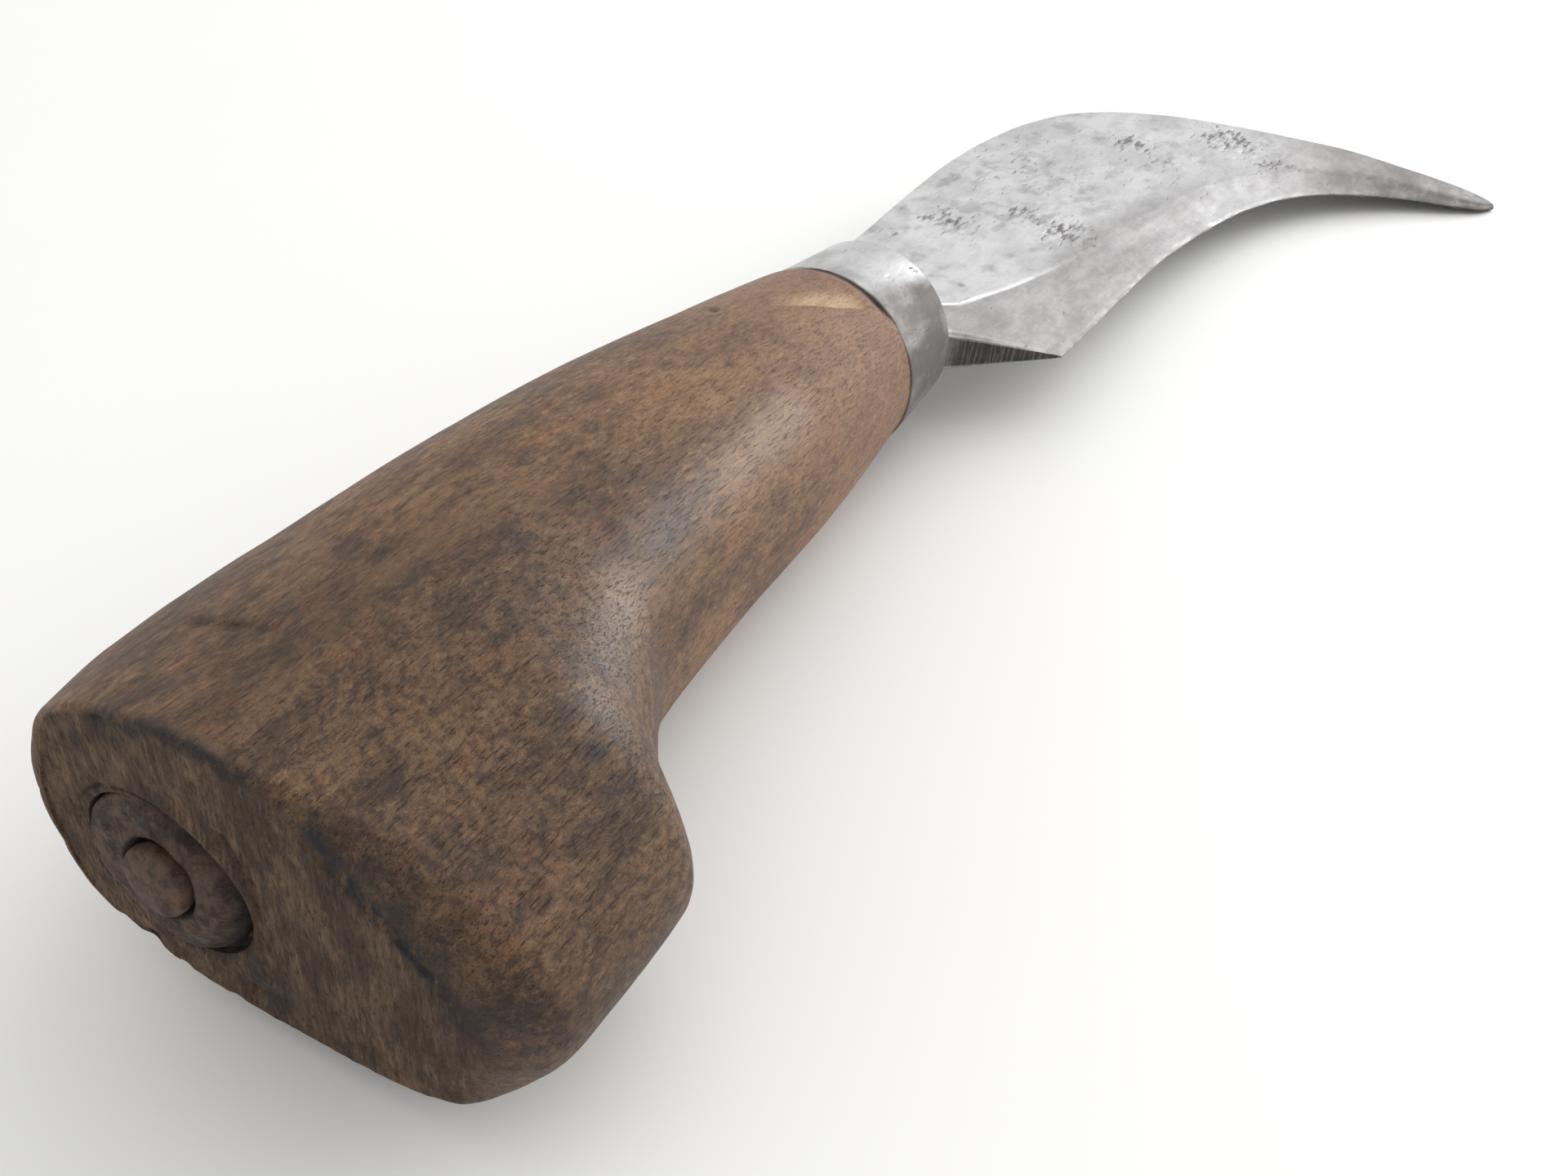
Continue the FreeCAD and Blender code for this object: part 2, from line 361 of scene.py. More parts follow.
def span(value, low, high, to_low=0.0, to_high=1.0, curve="SMOOTHSTEP"):
    """value from low..high brought to to_low..to_high and held there outside."""
    ends = {"Value": value, "From Min": low, "From Max": high, "To Min": to_low, "To Max": to_high}
    return result(value.tree, "ShaderNodeMapRange", ends, interpolation_type=curve)


def mixed(factor, a, b):
    """Number a turning into number b."""
    return result(factor.tree, "ShaderNodeMix", {0: factor, 2: a, 3: b}, data_type="FLOAT")


def blend(factor, a, b, blend_type="MIX"):
    """Colour a turning into colour b; the factor or colour a is a Value."""
    tree = (factor if isinstance(factor, Value) else a).tree
    colours = [value if isinstance(value, Value) else (*value, 1.0) for value in (a, b)]
    inputs = {0: factor, 6: colours[0], 7: colours[1]}
    return result(tree, "ShaderNodeMix", inputs, 2, data_type="RGBA", blend_type=blend_type)


def finish_material(colour, metal, rough, height, depth_mm, extra=None):
    """Principled surface with a bump whose full height is depth_mm."""
    tree = height.tree
    bump = result(tree, "ShaderNodeBump", {"Height": height, "Distance": depth_mm * MM, "Strength": 1.0})
    inputs = {"Base Color": colour, "Metallic": metal, "Roughness": rough, "Normal": bump}
    inputs.update(extra or {})
    surface = result(tree, "ShaderNodeBsdfPrincipled", inputs)
    node(tree, "ShaderNodeOutputMaterial", {"Surface": surface})


def new_material(name):
    """Empty material and its node tree."""
    material = bpy.data.materials.new(name)
    material.use_nodes = True
    material.node_tree.nodes.clear()
    return material, material.node_tree


# ---------------------------------------------------------------- materials

# Linear colours of the wood, as it has darkened with handling, and the paler front colour that is painted
# light.
WOOD_DARK = (0.122, 0.063, 0.033)
WOOD_LIGHT = (0.245, 0.132, 0.063)
WOOD_RED = (0.270, 0.112, 0.052)
# Painted light: paler, greyer wood towards the ferrule, standing in for the sheen of the light from beyond
# the blade.
WOOD_FRONT_LIT = (0.275, 0.150, 0.092)
WOOD_GRIME = (0.066, 0.036, 0.024)
WOOD_FLECK = (0.044, 0.024, 0.016)
WOOD_TAN = (0.380, 0.230, 0.108)
END_DARK = (0.070, 0.040, 0.023)
END_LIGHT = (0.165, 0.100, 0.056)
END_TAN = (0.250, 0.165, 0.095)
END_PORE = (0.018, 0.011, 0.009)
# Near-black blue of the stains, also used as painted shade in the recess and on the nose.
STAIN_AND_SHADE = (0.013, 0.013, 0.017)
BARE_WOOD = (0.56, 0.38, 0.22)
CRACK = (0.014, 0.009, 0.007)
DEEPEST_PAINTED_SHADE = 0.57                # the most shaded wood keeps this share of its colour, as painted shade
RING_CENTRE = (-84.0, -24.0, 30.0)
RING_SQUASH = (1.0, 0.8, 0.75)
RING_SPACING = 1.45

# Linear colours of the metals.
FERRULE_BASE = (0.64, 0.64, 0.65)
FERRULE_DARK = (0.17, 0.165, 0.16)
BLADE_BASE = (0.66, 0.66, 0.67)
BLADE_DARK = (0.22, 0.215, 0.21)
CLOUD_SHADE = 0.80               # the darker clouds of the steel keep this share of its colour
# Colour of tarnish, also used as painted shade on the ferrule's toe side and the blade's bevel.
TARNISH_AND_SHADE = (0.125, 0.112, 0.106)
SPECK = (0.170, 0.163, 0.160)
RUST_DARK = (0.038, 0.022, 0.017)
RUST_BROWN = (0.125, 0.074, 0.052)
RUST_ORANGE = (0.17, 0.085, 0.042)
RUST_GREY = (0.082, 0.066, 0.060)
# Near-black of the pits, also used as painted shade on the rove.
RUST_PIT_AND_SHADE = (0.012, 0.008, 0.008)

# Full height of each bump, in mm.
WOOD_BUMP = 0.13
STEEL_BUMP = 0.10
RUST_BUMP = 0.34


def wood_material():
    """Dark hand-worn hardwood: mottled flecks along the grain, ring figure, stains, a polished grip; painted
    light towards the ferrule and painted shade towards the butt, in the recess and at the ferrule's rim.
    """
    material, tree = new_material("worn_wood")
    place = tool_place(tree)
    end = mask(tree, "end_grain")
    toe = mask(tree, "figure")
    long_fleck = blobs(place, (2.0, 0.70, 0.70), 6, 0.94)
    short_fleck = blobs(place, (1.1, 0.75, 0.75), 5, 0.92, (3, 9, 1))
    fleck = mixed(toe, long_fleck, short_fleck)
    pore = blobs(place, (2.2, 0.24, 0.24), 2, 0.6, (1, 4, 8))
    dots = blobs(place, (0.8, 0.42, 1.5), 4, 0.70, (4, 4, 4))
    figure = ring_figure(place) * toe
    side = side_wood_colour(place, fleck, pore, figure)
    colour = blend(end, side, end_wood_colour(place, dots))

    blotch = blobs(place, (2.4, 1.7, 1.7), 5, 0.70, (5, 1, 2))
    # Stains, and painted shade in the recess and on the nose inside the ferrule.
    colour = blend(mask(tree, "stain_and_shade") * span(blotch, 0.36, 0.56, 0.35, 1.1), colour, STAIN_AND_SHADE)
    colour = blend(mask(tree, "scrape") * span(fleck, 0.28, 0.60, 0.30, 1.0), colour, BARE_WOOD)
    # Dark splits and knife cuts, and painted shade in the gap at the ferrule's rim.
    colour = blend(mask(tree, "cuts_and_rim_shade") * 0.85, colour, CRACK)

    polish = mask(tree, "polish")
    rough = span(fleck, 0.3, 0.7, 0.56, 0.44) - polish * 0.24 + end * 0.30
    gloss = span(polish, 0.0, 1.0, 0.34, 0.80, "LINEAR")
    relief = fleck + span(pore, 0.26, 0.46) * 0.9 - figure * 0.12 + dots * end * 1.8
    finish_material(colour, 0.0, rough, relief, WOOD_BUMP, {"Specular IOR Level": gloss})
    return material


def side_wood_colour(place, fleck, pore, figure):
    """Long-grain wood: brown clouds, reddish and grimy patches, painted light towards the ferrule, then dark
    and tan flecks over all, and painted shade towards the butt.
    """
    cloud = blobs(place, (22, 8, 8), 5, 0.60)
    red = blobs(place, (7, 4.5, 4.5), 5, 0.64, (7, 3, 5))
    grime = blobs(place, (5, 3.2, 3.2), 6, 0.72, (2, 8, 3))
    front = mask(place.tree, "front")
    calm = span(front, 0.0, 1.0, 0.80, 0.50, "LINEAR")
    colour = blend(span(cloud, 0.38, 0.62), WOOD_DARK, WOOD_LIGHT)
    colour = blend(span(red, 0.52, 0.68) * 0.55, colour, WOOD_RED)
    # Painted light: the wood turns paler and greyer towards the ferrule.
    colour = blend(front * 0.65, colour, WOOD_FRONT_LIT)
    colour = blend(span(grime, 0.50, 0.64) * mask(place.tree, "grimy"), colour, WOOD_GRIME)
    colour = blend(span(fleck, 0.52, 0.37) * calm, colour, WOOD_FLECK)
    colour = blend(span(fleck, 0.51, 0.66) * span(grime, 0.60, 0.40, 0.30, 0.95), colour, WOOD_TAN)
    colour = blend(span(pore, 0.36, 0.26) * (calm * calm) * 1.5, colour, CRACK)
    colour = blend(figure * 0.45, colour, WOOD_FLECK)
    # Painted shade towards the butt, multiplied over all.
    return blend(1.0, colour, painted_shade_grey(place.tree), "MULTIPLY")


def painted_shade_grey(tree):
    """Grey that darkens the wood as painted shade, deepest towards the butt on the toe side."""
    level = span(mask(tree, "painted_butt_shade"), 0.0, 1.0, 1.0, DEEPEST_PAINTED_SHADE, "LINEAR")
    return result(tree, "ShaderNodeCombineColor", {0: level, 1: level, 2: level})


def end_wood_colour(place, dots):
    """Dry end grain: darker, with short upright streaks and pale dusty patches."""
    patch = blobs(place, (6, 5, 9), 5, 0.64)
    streak = blobs(place, (3, 0.55, 3.2), 5, 0.78, (2, 5, 1))
    colour = blend(span(patch, 0.38, 0.64), END_DARK, END_LIGHT)
    colour = blend(span(streak, 0.53, 0.38) * 0.60, colour, END_PORE)
    colour = blend(span(streak, 0.53, 0.66) * span(patch, 0.40, 0.60, 0.25, 0.75), colour, END_TAN)
    return blend(span(dots, 0.48, 0.33) * 0.80, colour, END_PORE)


def ring_figure(place):
    """Growth lines cut through by the hollow behind the toe: broken arcs round a centre above the wood."""
    squeezed = vectors("MULTIPLY", vectors("SUBTRACT", place, RING_CENTRE), RING_SQUASH)
    distance = vectors("LENGTH", squeezed, output="Value")
    wander = blobs(place, (7, 5, 5), 3, 0.6, (2, 2, 9))
    jitter = blobs(place, (1.3, 1.3, 1.3), 3, 0.6, (8, 2, 4))
    distance = distance + wander * 5.0 + jitter * 1.0
    wave = (distance * (2 * math.pi / RING_SPACING)).math("SINE")
    broken = blobs(place, (2.2, 2.2, 2.2), 4, 0.66, (5, 5, 5))
    return span(wave, -0.1, 0.95) * span(broken, 0.40, 0.58)


def steel_material(name, base, dark):
    """Old ground steel: cloudy grey, smudges, fine scratches, dark specks, tarnish and painted shade where
    the mask says.
    """
    material, tree = new_material(name)
    place = tool_place(tree)
    cloud = blobs(place, (14, 8, 8), 5, 0.62)
    mottle = blobs(place, (5.5, 3.0, 3.0), 6, 0.72, (4, 4, 4))
    speck = blobs(place, (3.0, 0.85, 0.9), 4, 0.60, (9, 2, 7))
    lines = blobs(place, (12, 0.20, 0.20), 2, 0.55, (1, 2, 3))
    cross = blobs(place, (0.25, 7, 0.25), 2, 0.55, (8, 2, 3))
    stroke = blobs(place, (0.45, 0.45, 5), 3, 0.6, (6, 1, 4))
    striae = mask(tree, "striae")
    rust = mask(tree, "rust")
    smudge = span(mottle, 0.42, 0.72) * 0.32
    tarnish_and_shade = mask(tree, "tarnish_and_shade") * span(mottle, 0.25, 0.6, 0.80, 1.0)
    specks = span(speck + mask(tree, "pit") * 0.25, 0.61, 0.82)

    colour = blend(span(cloud, 0.36, 0.64), tuple(CLOUD_SHADE * v for v in base), base)
    colour = blend(smudge, colour, dark)
    colour = blend(span(lines, 0.58, 0.75) * 0.16, colour, dark)
    # Tarnish, and painted shade on the ferrule's toe side and along the blade's bevel.
    colour = blend(tarnish_and_shade, colour, TARNISH_AND_SHADE)
    colour = blend(specks, colour, SPECK)
    colour = blend(striae * span(stroke, 0.66, 0.46, 0.0, 0.65), colour, CRACK)
    colour = blend(rust, colour, rust_colour(place))

    rough = span(cloud, 0.3, 0.7, 0.42, 0.32)
    for mark, amount in ((specks, 0.25), (tarnish_and_shade, 0.25), (rust, 0.35), (smudge, 0.15), (striae, 0.15)):
        rough = rough + mark * amount
    metal = rust * -0.75 + 1.0 - specks * 0.4 - tarnish_and_shade * 0.6
    relief = mottle * 0.6 + lines * 0.16 + cross * 0.10 - specks * 0.5
    finish_material(colour, metal, rough, relief, STEEL_BUMP)
    return material


def rust_colour(place):
    """Brown scale with orange and grey-brown patches."""
    patch = blobs(place, (2.2, 2.2, 2.2), 6, 0.72, (1, 7, 2))
    speck = blobs(place, (0.5, 0.5, 0.5), 3, 0.6, (6, 6, 1))
    colour = blend(span(patch, 0.38, 0.62), RUST_DARK, RUST_BROWN)
    return blend(span(speck, 0.55, 0.75) * 0.6, colour, RUST_ORANGE)


def rust_material():
    """Rough brown rusted iron, darkened at its pits and by painted shade where the pit mask says."""
    material, tree = new_material("rusted_iron")
    place = tool_place(tree)
    grey = blobs(place, (4, 4, 4), 3, 0.5, (3, 3, 9))
    grit = blobs(place, (0.6, 0.6, 0.6), 4, 0.7, (3, 1, 9))
    colour = blend(span(grey, 0.5, 0.7) * 0.4, rust_colour(place), RUST_GREY)
    # Pits, and on the rove painted shade in the countersink and along the worn toe side.
    colour = blend(mask(tree, "pit"), colour, RUST_PIT_AND_SHADE)
    finish_material(colour, 0.25, span(grit, 0.3, 0.7, 0.62, 0.86), grit, RUST_BUMP)
    return material


# ---------------------------------------------------------------- handle

# Distance behind the ferrule, spine side, toe side, half thickness.
HANDLE_STATIONS = np.array((
    (0.0, 14.7, -14.4, 15.0),
    (24.0, 18.1, -17.3, 17.5),
    (47.0, 20.9, -18.5, 19.0),
    (68.0, 21.7, -20.8, 19.9),
    (80.0, 22.5, -27.7, 20.1),
    (89.0, 23.3, -37.6, 19.8),
    (97.0, 23.4, -38.2, 19.2),
    (105.0, 22.9, -38.4, 18.6),
    (113.7, 20.6, -36.4, 18.5),
))
SECTION_SQUARENESS_FRONT = 2.0
SECTION_SQUARENESS_BUTT = 2.15
TOE_THINNING = 0.13
SPINE_LEAN = 1.2
TOE_FACET_Y = -8.5               # the butt turns to a second facet past here
TOE_FACET_LEAN = 0.062
TOE_FACET_SOFTNESS = 2.0
BUTT_MIDDLE = np.array([0, -8.0, 0])
GRIP_MIDDLE = np.array([-60.0, -3.0, 0.0])
GRIP_ROWS = slice(20, 200)       # the normals of these rows have to point away from GRIP_MIDDLE
NOSE_CLEARANCE = 0.05
NOSE_SETBACK = 0.3
HANDLE_COLUMNS = 320
SIDE_ROWS = 236
ROUND_ROWS = 12
FACE_ROWS = 42


def handle_section(back, angle):
    """Point of the handle's side surface this far behind the ferrule and at this angle round it."""
    backs, *sides = HANDLE_STATIONS.T
    spine_y, toe_y, half = (smooth_curve(backs, side, back) for side in sides)
    share = back / GRIP_LENGTH
    squareness = SECTION_SQUARENESS_FRONT + (SECTION_SQUARENESS_BUTT - SECTION_SQUARENESS_FRONT) * share
    across = signed_power(np.cos(angle), 2 / squareness)
    up = signed_power(np.sin(angle), 2 / squareness)
    y = (spine_y + toe_y) / 2 + (spine_y - toe_y) / 2 * across
    y = y - SPINE_LEAN * share ** 4 * up * np.maximum(0, across)
    z = half * up * (1 + TOE_THINNING * share ** 4 * across)
    return np.stack(np.broadcast_arrays(-back, y, z), -1)


def even_angles(count):
    """Angles that space points evenly round the butt."""
    dense = np.linspace(0, 2 * np.pi, 4001)
    points = handle_section(np.full(4001, 100.0), dense)
    run = np.concatenate([[0], np.cumsum(np.linalg.norm(np.diff(points, axis=0), axis=1))])
    return np.interp(np.linspace(0, run[-1], count, endpoint=False), run, dense)


def butt_face_x(y, z):
    """The butt leans a little, and its toe part turns to a second, squarer facet past a soft arris."""
    turn = np.maximum(0, TOE_FACET_Y - y)
    soft = np.sqrt(turn ** 2 + TOE_FACET_SOFTNESS ** 2) - TOE_FACET_SOFTNESS
    return -GRIP_LENGTH + BUTT_LEAN_Y * y + BUTT_LEAN_Z * z - TOE_FACET_LEAN * soft


def butt_rounding(outline):
    """Radius of the worn edge round the butt: crisp by the spine and below, soft over the toe."""
    y = outline[..., 1]
    z = outline[..., 2]
    below = smoothstep(2, -8, z) * smoothstep(-36, -30, y)
    soft_toe = 4.6 * smoothstep(-4, -30, y) * (1 - below)
    soft_spine = 2.2 * smoothstep(12, 20, y) * smoothstep(16, 6, np.abs(z))
    return 0.9 + soft_toe + soft_spine


def scaled_about(outline, amount):
    """outline moved inward by amount mm towards the middle of the butt."""
    flat = (outline - BUTT_MIDDLE) * [0, 1, 1]
    reach = np.linalg.norm(flat, axis=-1, keepdims=True)
    return outline - flat / reach * amount[..., None]


def handle_rings():
    """Rings from the nose's front face, over the grip and butt, into the recess and back up the channel."""
    angle = even_angles(HANDLE_COLUMNS)
    outline = handle_section(np.full(HANDLE_COLUMNS, GRIP_LENGTH), angle)
    face_back = -butt_face_x(outline[:, 1], outline[:, 2])
    radius = butt_rounding(outline)
    side_end = face_back - radius
    rings = list(nose_rings(angle))
    for t in np.linspace(0, 1, SIDE_ROWS):
        back = side_end * (t * (1.25 - 0.25 * t))
        ring = handle_section(np.clip(back, 0, GRIP_LENGTH), angle)
        ring[:, 0] = -back
        rings.append(ring)
    for turn in np.linspace(0, math.pi / 2, ROUND_ROWS + 1)[1:]:
        back = side_end + radius * math.sin(turn)
        side = handle_section(np.clip(back, 0, GRIP_LENGTH), angle)
        ring = scaled_about(side, radius * (1 - math.cos(turn)))
        ring[:, 0] = -back
        rings.append(ring)
    rings.extend(butt_rings(rings[-1]))
    return np.array(rings)


def nose_rings(angle):
    """Cone inside the ferrule, drawn from the channel's mouth outwards and back to the rear rim."""
    rear_r = FERRULE_REAR_R - FERRULE_WALL - NOSE_CLEARANCE
    front_r = FERRULE_FRONT_R - FERRULE_WALL - NOSE_CLEARANCE
    circle = np.stack([0 * angle, np.cos(angle), np.sin(angle)], -1)
    for r in (7.5, 10.0, front_r - 0.8):
        yield circle * r + [NECK_X, 0, 0]
    for share in (0.0, 0.04, 0.5, 0.9):
        r = front_r + (rear_r - front_r) * share
        yield circle * r + [NECK_X * (1 - share) - NOSE_SETBACK * (share == 0), 0, 0]


def butt_rings(edge):
    """Butt face from its worn edge in to the recess, then the recess, its floor and the tang's channel."""
    centre = rove_centre()
    flat = edge - centre
    bearing = np.arctan2(flat @ ROVE_DOWN, flat @ ROVE_ACROSS)
    circle = rove_circle(bearing)
    mouth = centre + circle * (RECESS_R + 0.35)
    mouth[:, 0] = butt_face_x(mouth[:, 1], mouth[:, 2])
    for share in np.linspace(0, 1, FACE_ROWS)[1:]:
        ring = edge * (1 - share) + mouth * share
        ring[:, 0] = butt_face_x(ring[:, 1], ring[:, 2])
        yield ring
    tight = 0.5 * smoothstep(-0.3, 0.8, circle @ [0, 0.8, 0.6])[:, None]
    rim = centre + circle * (RECESS_R - tight)
    depth = ((mouth - rim) @ ROVE_NORMAL)[:, None]
    for share in (0.92, 0.75, 0.5, 0.25, 0.0):
        yield rim + ROVE_NORMAL * (depth * share - (1 - share) * ROVE_THICKNESS)
    floor = centre - ROVE_NORMAL * ROVE_THICKNESS
    for r in (9.5, 6.0, SEAT_R):
        yield floor + circle * r
    for share in (0.1, 0.5, 1.0):
        end = np.array([NECK_X, 0, 0])
        bar = floor * (1 - share) + end * share
        size = 3.0 + 3.0 * share
        yield bar + np.stack([0 * bearing, circle[:, 1] * size, circle[:, 2] * size], -1)


# Rows of the handle's grid: the nose, then the side, the worn edge round the butt, the face and the recess.
SIDE_START = 7
FACE_START = SIDE_START + SIDE_ROWS
FACE_END = FACE_START + ROUND_ROWS + FACE_ROWS - 1
RECESS_END = FACE_END + 9

# Start and end of the cuts that a knife left across the grip.
KNIFE_CUTS = (
    ((-57.3, 4.8, 17.9), (-58.3, -5.2, 17.7)),
    ((-61.5, 3.2, 18.0), (-62.1, -4.4, 17.8)),
)
KNIFE_DEPTH = 0.18
KNIFE_HALF_WIDTH = 0.42
# Start, end, depth and half width of the splits: one over the butt's edge and one down its face.
SPLITS = (
    ((-101.5, 9.6, 16.9), (-100.5, 5.0, 17.9), 0.30, 0.6),
    ((-100.5, 5.0, 17.9), (-99.2, 1.0, 18.3), 0.15, 0.5),
    ((-112.8, -5.3, 8.6), (-113.0, -7.6, 3.6), 0.45, 0.5),
    ((-113.0, -7.6, 3.6), (-113.2, -7.6, -0.8), 0.45, 0.5),
)
# Place, depth and size of the dents.
DENTS = (
    ((-23.2, 5.3, 16.3), 0.35, 0.9),
    ((-34.2, -3.9, 17.0), 0.25, 0.9),
    ((-43.5, -18.1, 0.8), 0.35, 1.2),
    ((-12.4, -12.5, 10.6), 0.35, 0.8),
    ((-82.4, -22.2, 14.4), 0.2, 1.1),
    ((-48.9, 9.0, 15.5), 0.2, 1.3),
    ((-71.9, 16.0, -9.0), 0.3, 1.4),
    ((-39.9, 3.0, -17.2), 0.3, 1.5),
    ((-93.9, -36.0, -6.0), 0.3, 1.3),
    ((-113.8, -4.6, -15.3), 0.8, 1.5),
    ((-114.3, 8.5, -16.0), 0.6, 1.3),
)
# Start, end, half width and strength of the dark lines along the butt's edges.
BUTT_STAINS = (
    ((-111.6, -15.2, 16.9), (-111.9, -18.4, 13.8), 1.1, 1.0),
    ((-111.9, -18.4, 13.8), (-111.9, -29.1, 5.8), 1.3, 1.0),
    ((-112.0, -29.1, 5.8), (-111.8, -33.0, 1.0), 1.6, 0.6),
    ((-110.5, -21.0, 13.5), (-110.5, -27.0, 9.0), 3.0, 0.6),
    ((-113.6, 7.0, 16.6), (-112.4, -1.5, 18.4), 0.9, 0.9),
    ((-112.4, -1.5, 18.4), (-111.9, -9.0, 18.0), 0.9, 0.9),
)
# Place, size and strength of the other dark patches.
WOOD_STAINS = (
    ((-82.4, -22.2, 14.4), 0.9, 1.0),
    ((-90.6, -27.6, 14.7), 1.0, 0.8),
    ((-76.5, -6.8, 17.8), 1.2, 0.8),
    ((-87.6, -8.1, 18.2), 1.2, 0.5),
    ((-74.7, -12.4, 16.4), 1.1, 0.4),
    ((-34.2, -3.9, 17.0), 0.6, 0.9),
    ((-23.2, 5.3, 16.3), 0.6, 0.9),
    ((-108.0, -24.0, 15.0), 3.5, 0.3),
    ((-113.4, -7.3, -12.0), 4.0, 0.55),
    ((-109.9, -34.0, 4.0), 3.0, 0.5),
    ((-61.9, 12.0, -13.0), 8.0, 0.4),
    ((-96.9, -10.0, -18.0), 9.0, 0.45),
    ((-31.9, -8.0, -15.0), 6.0, 0.4),
)
# The ridge that the palm has polished, from the ferrule's side to the toe.
POLISHED_RIDGE = ((-31.9, -12.5, 13.2), (-63.9, -14.5, 14.0), (-85.9, -24.0, 14.0))
POLISH_HALF_WIDTH = 3.4
# The scar shaved off next to the ferrule: where its crisp lower edge starts, the way that edge runs,
# and the way up the surface from it.
SCAR_START = np.array([-17.2, -0.5, 16.9])
SCAR_RUN = np.array([0.863, -0.444, -0.229])
SCAR_UP = np.array([0.49, 0.82, 0.26])
SCAR_LENGTH = 15.3
SCAR_WIDTH = 4.2
SCAR_DEPTH = 0.42
RIM_GAP_DEPTH = 0.55             # the top of the grip sinks this much beside the ferrule's rim


def wood_grid(rings):
    """The unworn handle: its rings, their row numbers, its zones from 0 to 1 and places round the rove."""
    row = np.arange(len(rings))[:, None] * np.ones(rings.shape[:2])
    face = smoothstep(FACE_START + ROUND_ROWS * 0.45, FACE_START + ROUND_ROWS * 0.95, row)
    from_rove = rings - rove_centre()
    out = from_rove @ ROVE_NORMAL
    y = rings[..., 1]
    z = rings[..., 2]
    return SimpleNamespace(
        rings=rings,
        x=rings[..., 0],
        y=y,
        row=row,
        outside=1.0 * ((row >= SIDE_START) & (row < FACE_END)),
        face=face * (row < FACE_END + 4),
        recess=1.0 * ((row >= FACE_END) & (row < RECESS_END)),
        nose=1.0 * (row < SIDE_START),
        reach=np.linalg.norm(from_rove - out[..., None] * ROVE_NORMAL, axis=-1),
        toe_side=smoothstep(-2, 6, from_rove @ TOEWARDS),
        ragged=0.5 + 0.5 * noise(rings, (1.4, 1.4, 1.4), 9),
        by_rim=smoothstep(-11, -7, y) * smoothstep(4, 8, z),
    )


def wood_relief(wood):
    """Height in mm of the wood's waves and grain, with a sawn and torn butt face and a chipped edge."""
    rings = wood.rings
    side = 0.20 * noise(rings, (28, 12, 12), 1) + 0.10 * noise(rings, (13, 6, 6), 2)
    side += 0.035 * noise(rings, (7, 1.3, 1.3), 3) + 0.02 * noise(rings, (3, 0.9, 0.9), 4)
    side *= smoothstep(0, 6, -wood.x)
    end = 0.07 * noise(rings, (2, 0.9, 3.2), 5) + 0.05 * noise(rings, (1, 0.9, 0.9), 6)
    end += 0.05 * noise(rings, (9, 1.1, 14), 7) * smoothstep(-10, -6, wood.y)
    edge_band = np.exp(-((wood.row - (FACE_START + ROUND_ROWS * 0.55)) / (ROUND_ROWS * 0.5)) ** 2)
    chips = smoothstep(0.15, 0.8, noise(rings, (2.2, 2.2, 2.2), 8)) * smoothstep(-22, 4, wood.y)
    return side * (1 - wood.face) + end * wood.face - 0.35 * edge_band * chips


def dug_out(wood):
    """Depth in mm of the cuts, splits and dents, and of the gap at the ferrule's rim."""
    depth = RIM_GAP_DEPTH * smoothstep(-2.2, -0.4, wood.x) * wood.by_rim
    for start, end in KNIFE_CUTS:
        depth += KNIFE_DEPTH * near_line(wood.rings, start, end, KNIFE_HALF_WIDTH)
    for start, end, deep, half_width in SPLITS:
        depth += deep * near_line(wood.rings, start, end, half_width)
    for place, deep, size in DENTS:
        depth += deep * near(wood.rings, place, size)
    return depth


def rove_lip(wood):
    """Height in mm of the wood pushed up round the rove, ragged at its inner edge."""
    lip = np.exp(-((wood.reach - 10.9) / 0.9) ** 2) * wood.face
    height = lip * (0.30 * wood.toe_side + 0.22 * noise(wood.rings, (2.5, 2.5, 2.5), 9))
    return height - 0.5 * wood.ragged * smoothstep(10.9, 10.1, wood.reach) * wood.face


def scar(wood):
    """(share of the way up from the scar's crisp edge, 1 inside the scar and 0 outside)."""
    gap = wood.rings - SCAR_START
    along = gap @ SCAR_RUN
    up = gap @ SCAR_UP + 0.25 * noise(wood.rings, (3, 3, 3), 12)
    ends = smoothstep(0.0, 6.0, along) * smoothstep(SCAR_LENGTH + 0.3, SCAR_LENGTH - 1.5, along)
    inside = smoothstep(-0.1, 0.25, up) * smoothstep(SCAR_WIDTH, SCAR_WIDTH * 0.45, up)
    facing = smoothstep(8, 11, wood.rings[..., 2])
    return np.clip(up / SCAR_WIDTH, 0, 1), inside * ends * facing


def stain_and_shade_mask(wood):
    """Dark lines and patches, a darker ring round the rove's rim, and painted shade in the recess, deepest
    on its toe side, and on the nose inside the ferrule.
    """
    rim_dark = np.exp(-((wood.reach - RECESS_R) / 0.5) ** 2) * wood.face * (0.35 + 0.65 * wood.ragged)
    stain_and_shade = 0.8 * rim_dark
    for start, end, half_width, strength in BUTT_STAINS:
        stain_and_shade = np.maximum(stain_and_shade, strength * near_line(wood.rings, start, end, half_width, False))
    for place, size, strength in WOOD_STAINS:
        stain_and_shade = np.maximum(stain_and_shade, strength * near(wood.rings, place, size))
    # Painted shade in the recess, deepest on its toe side, and on the nose inside the ferrule.
    return np.maximum(stain_and_shade * wood.outside, (0.1 + 0.75 * wood.toe_side) * wood.recess + 0.5 * wood.nose)


def cuts_and_rim_shade_mask(wood):
    """Darkness in the splits and the knife cuts, and painted shade in the gap at the ferrule's rim."""
    over_edge = near_line(wood.rings, SPLITS[0][0], SPLITS[1][1], 0.35) * 0.6 * wood.ragged
    down_face = near_line(wood.rings, (-112.9, -5.3, 8.6), SPLITS[3][1], 0.5) * 0.8
    dark = np.maximum(over_edge, down_face)
    for start, end in KNIFE_CUTS:
        dark = np.maximum(dark, 0.8 * near_line(wood.rings, start, end, 0.3))
    # Painted shade in the gap where the wood meets the ferrule's rim.
    return np.maximum(dark, smoothstep(-1.1, -0.3, wood.x) * wood.by_rim)


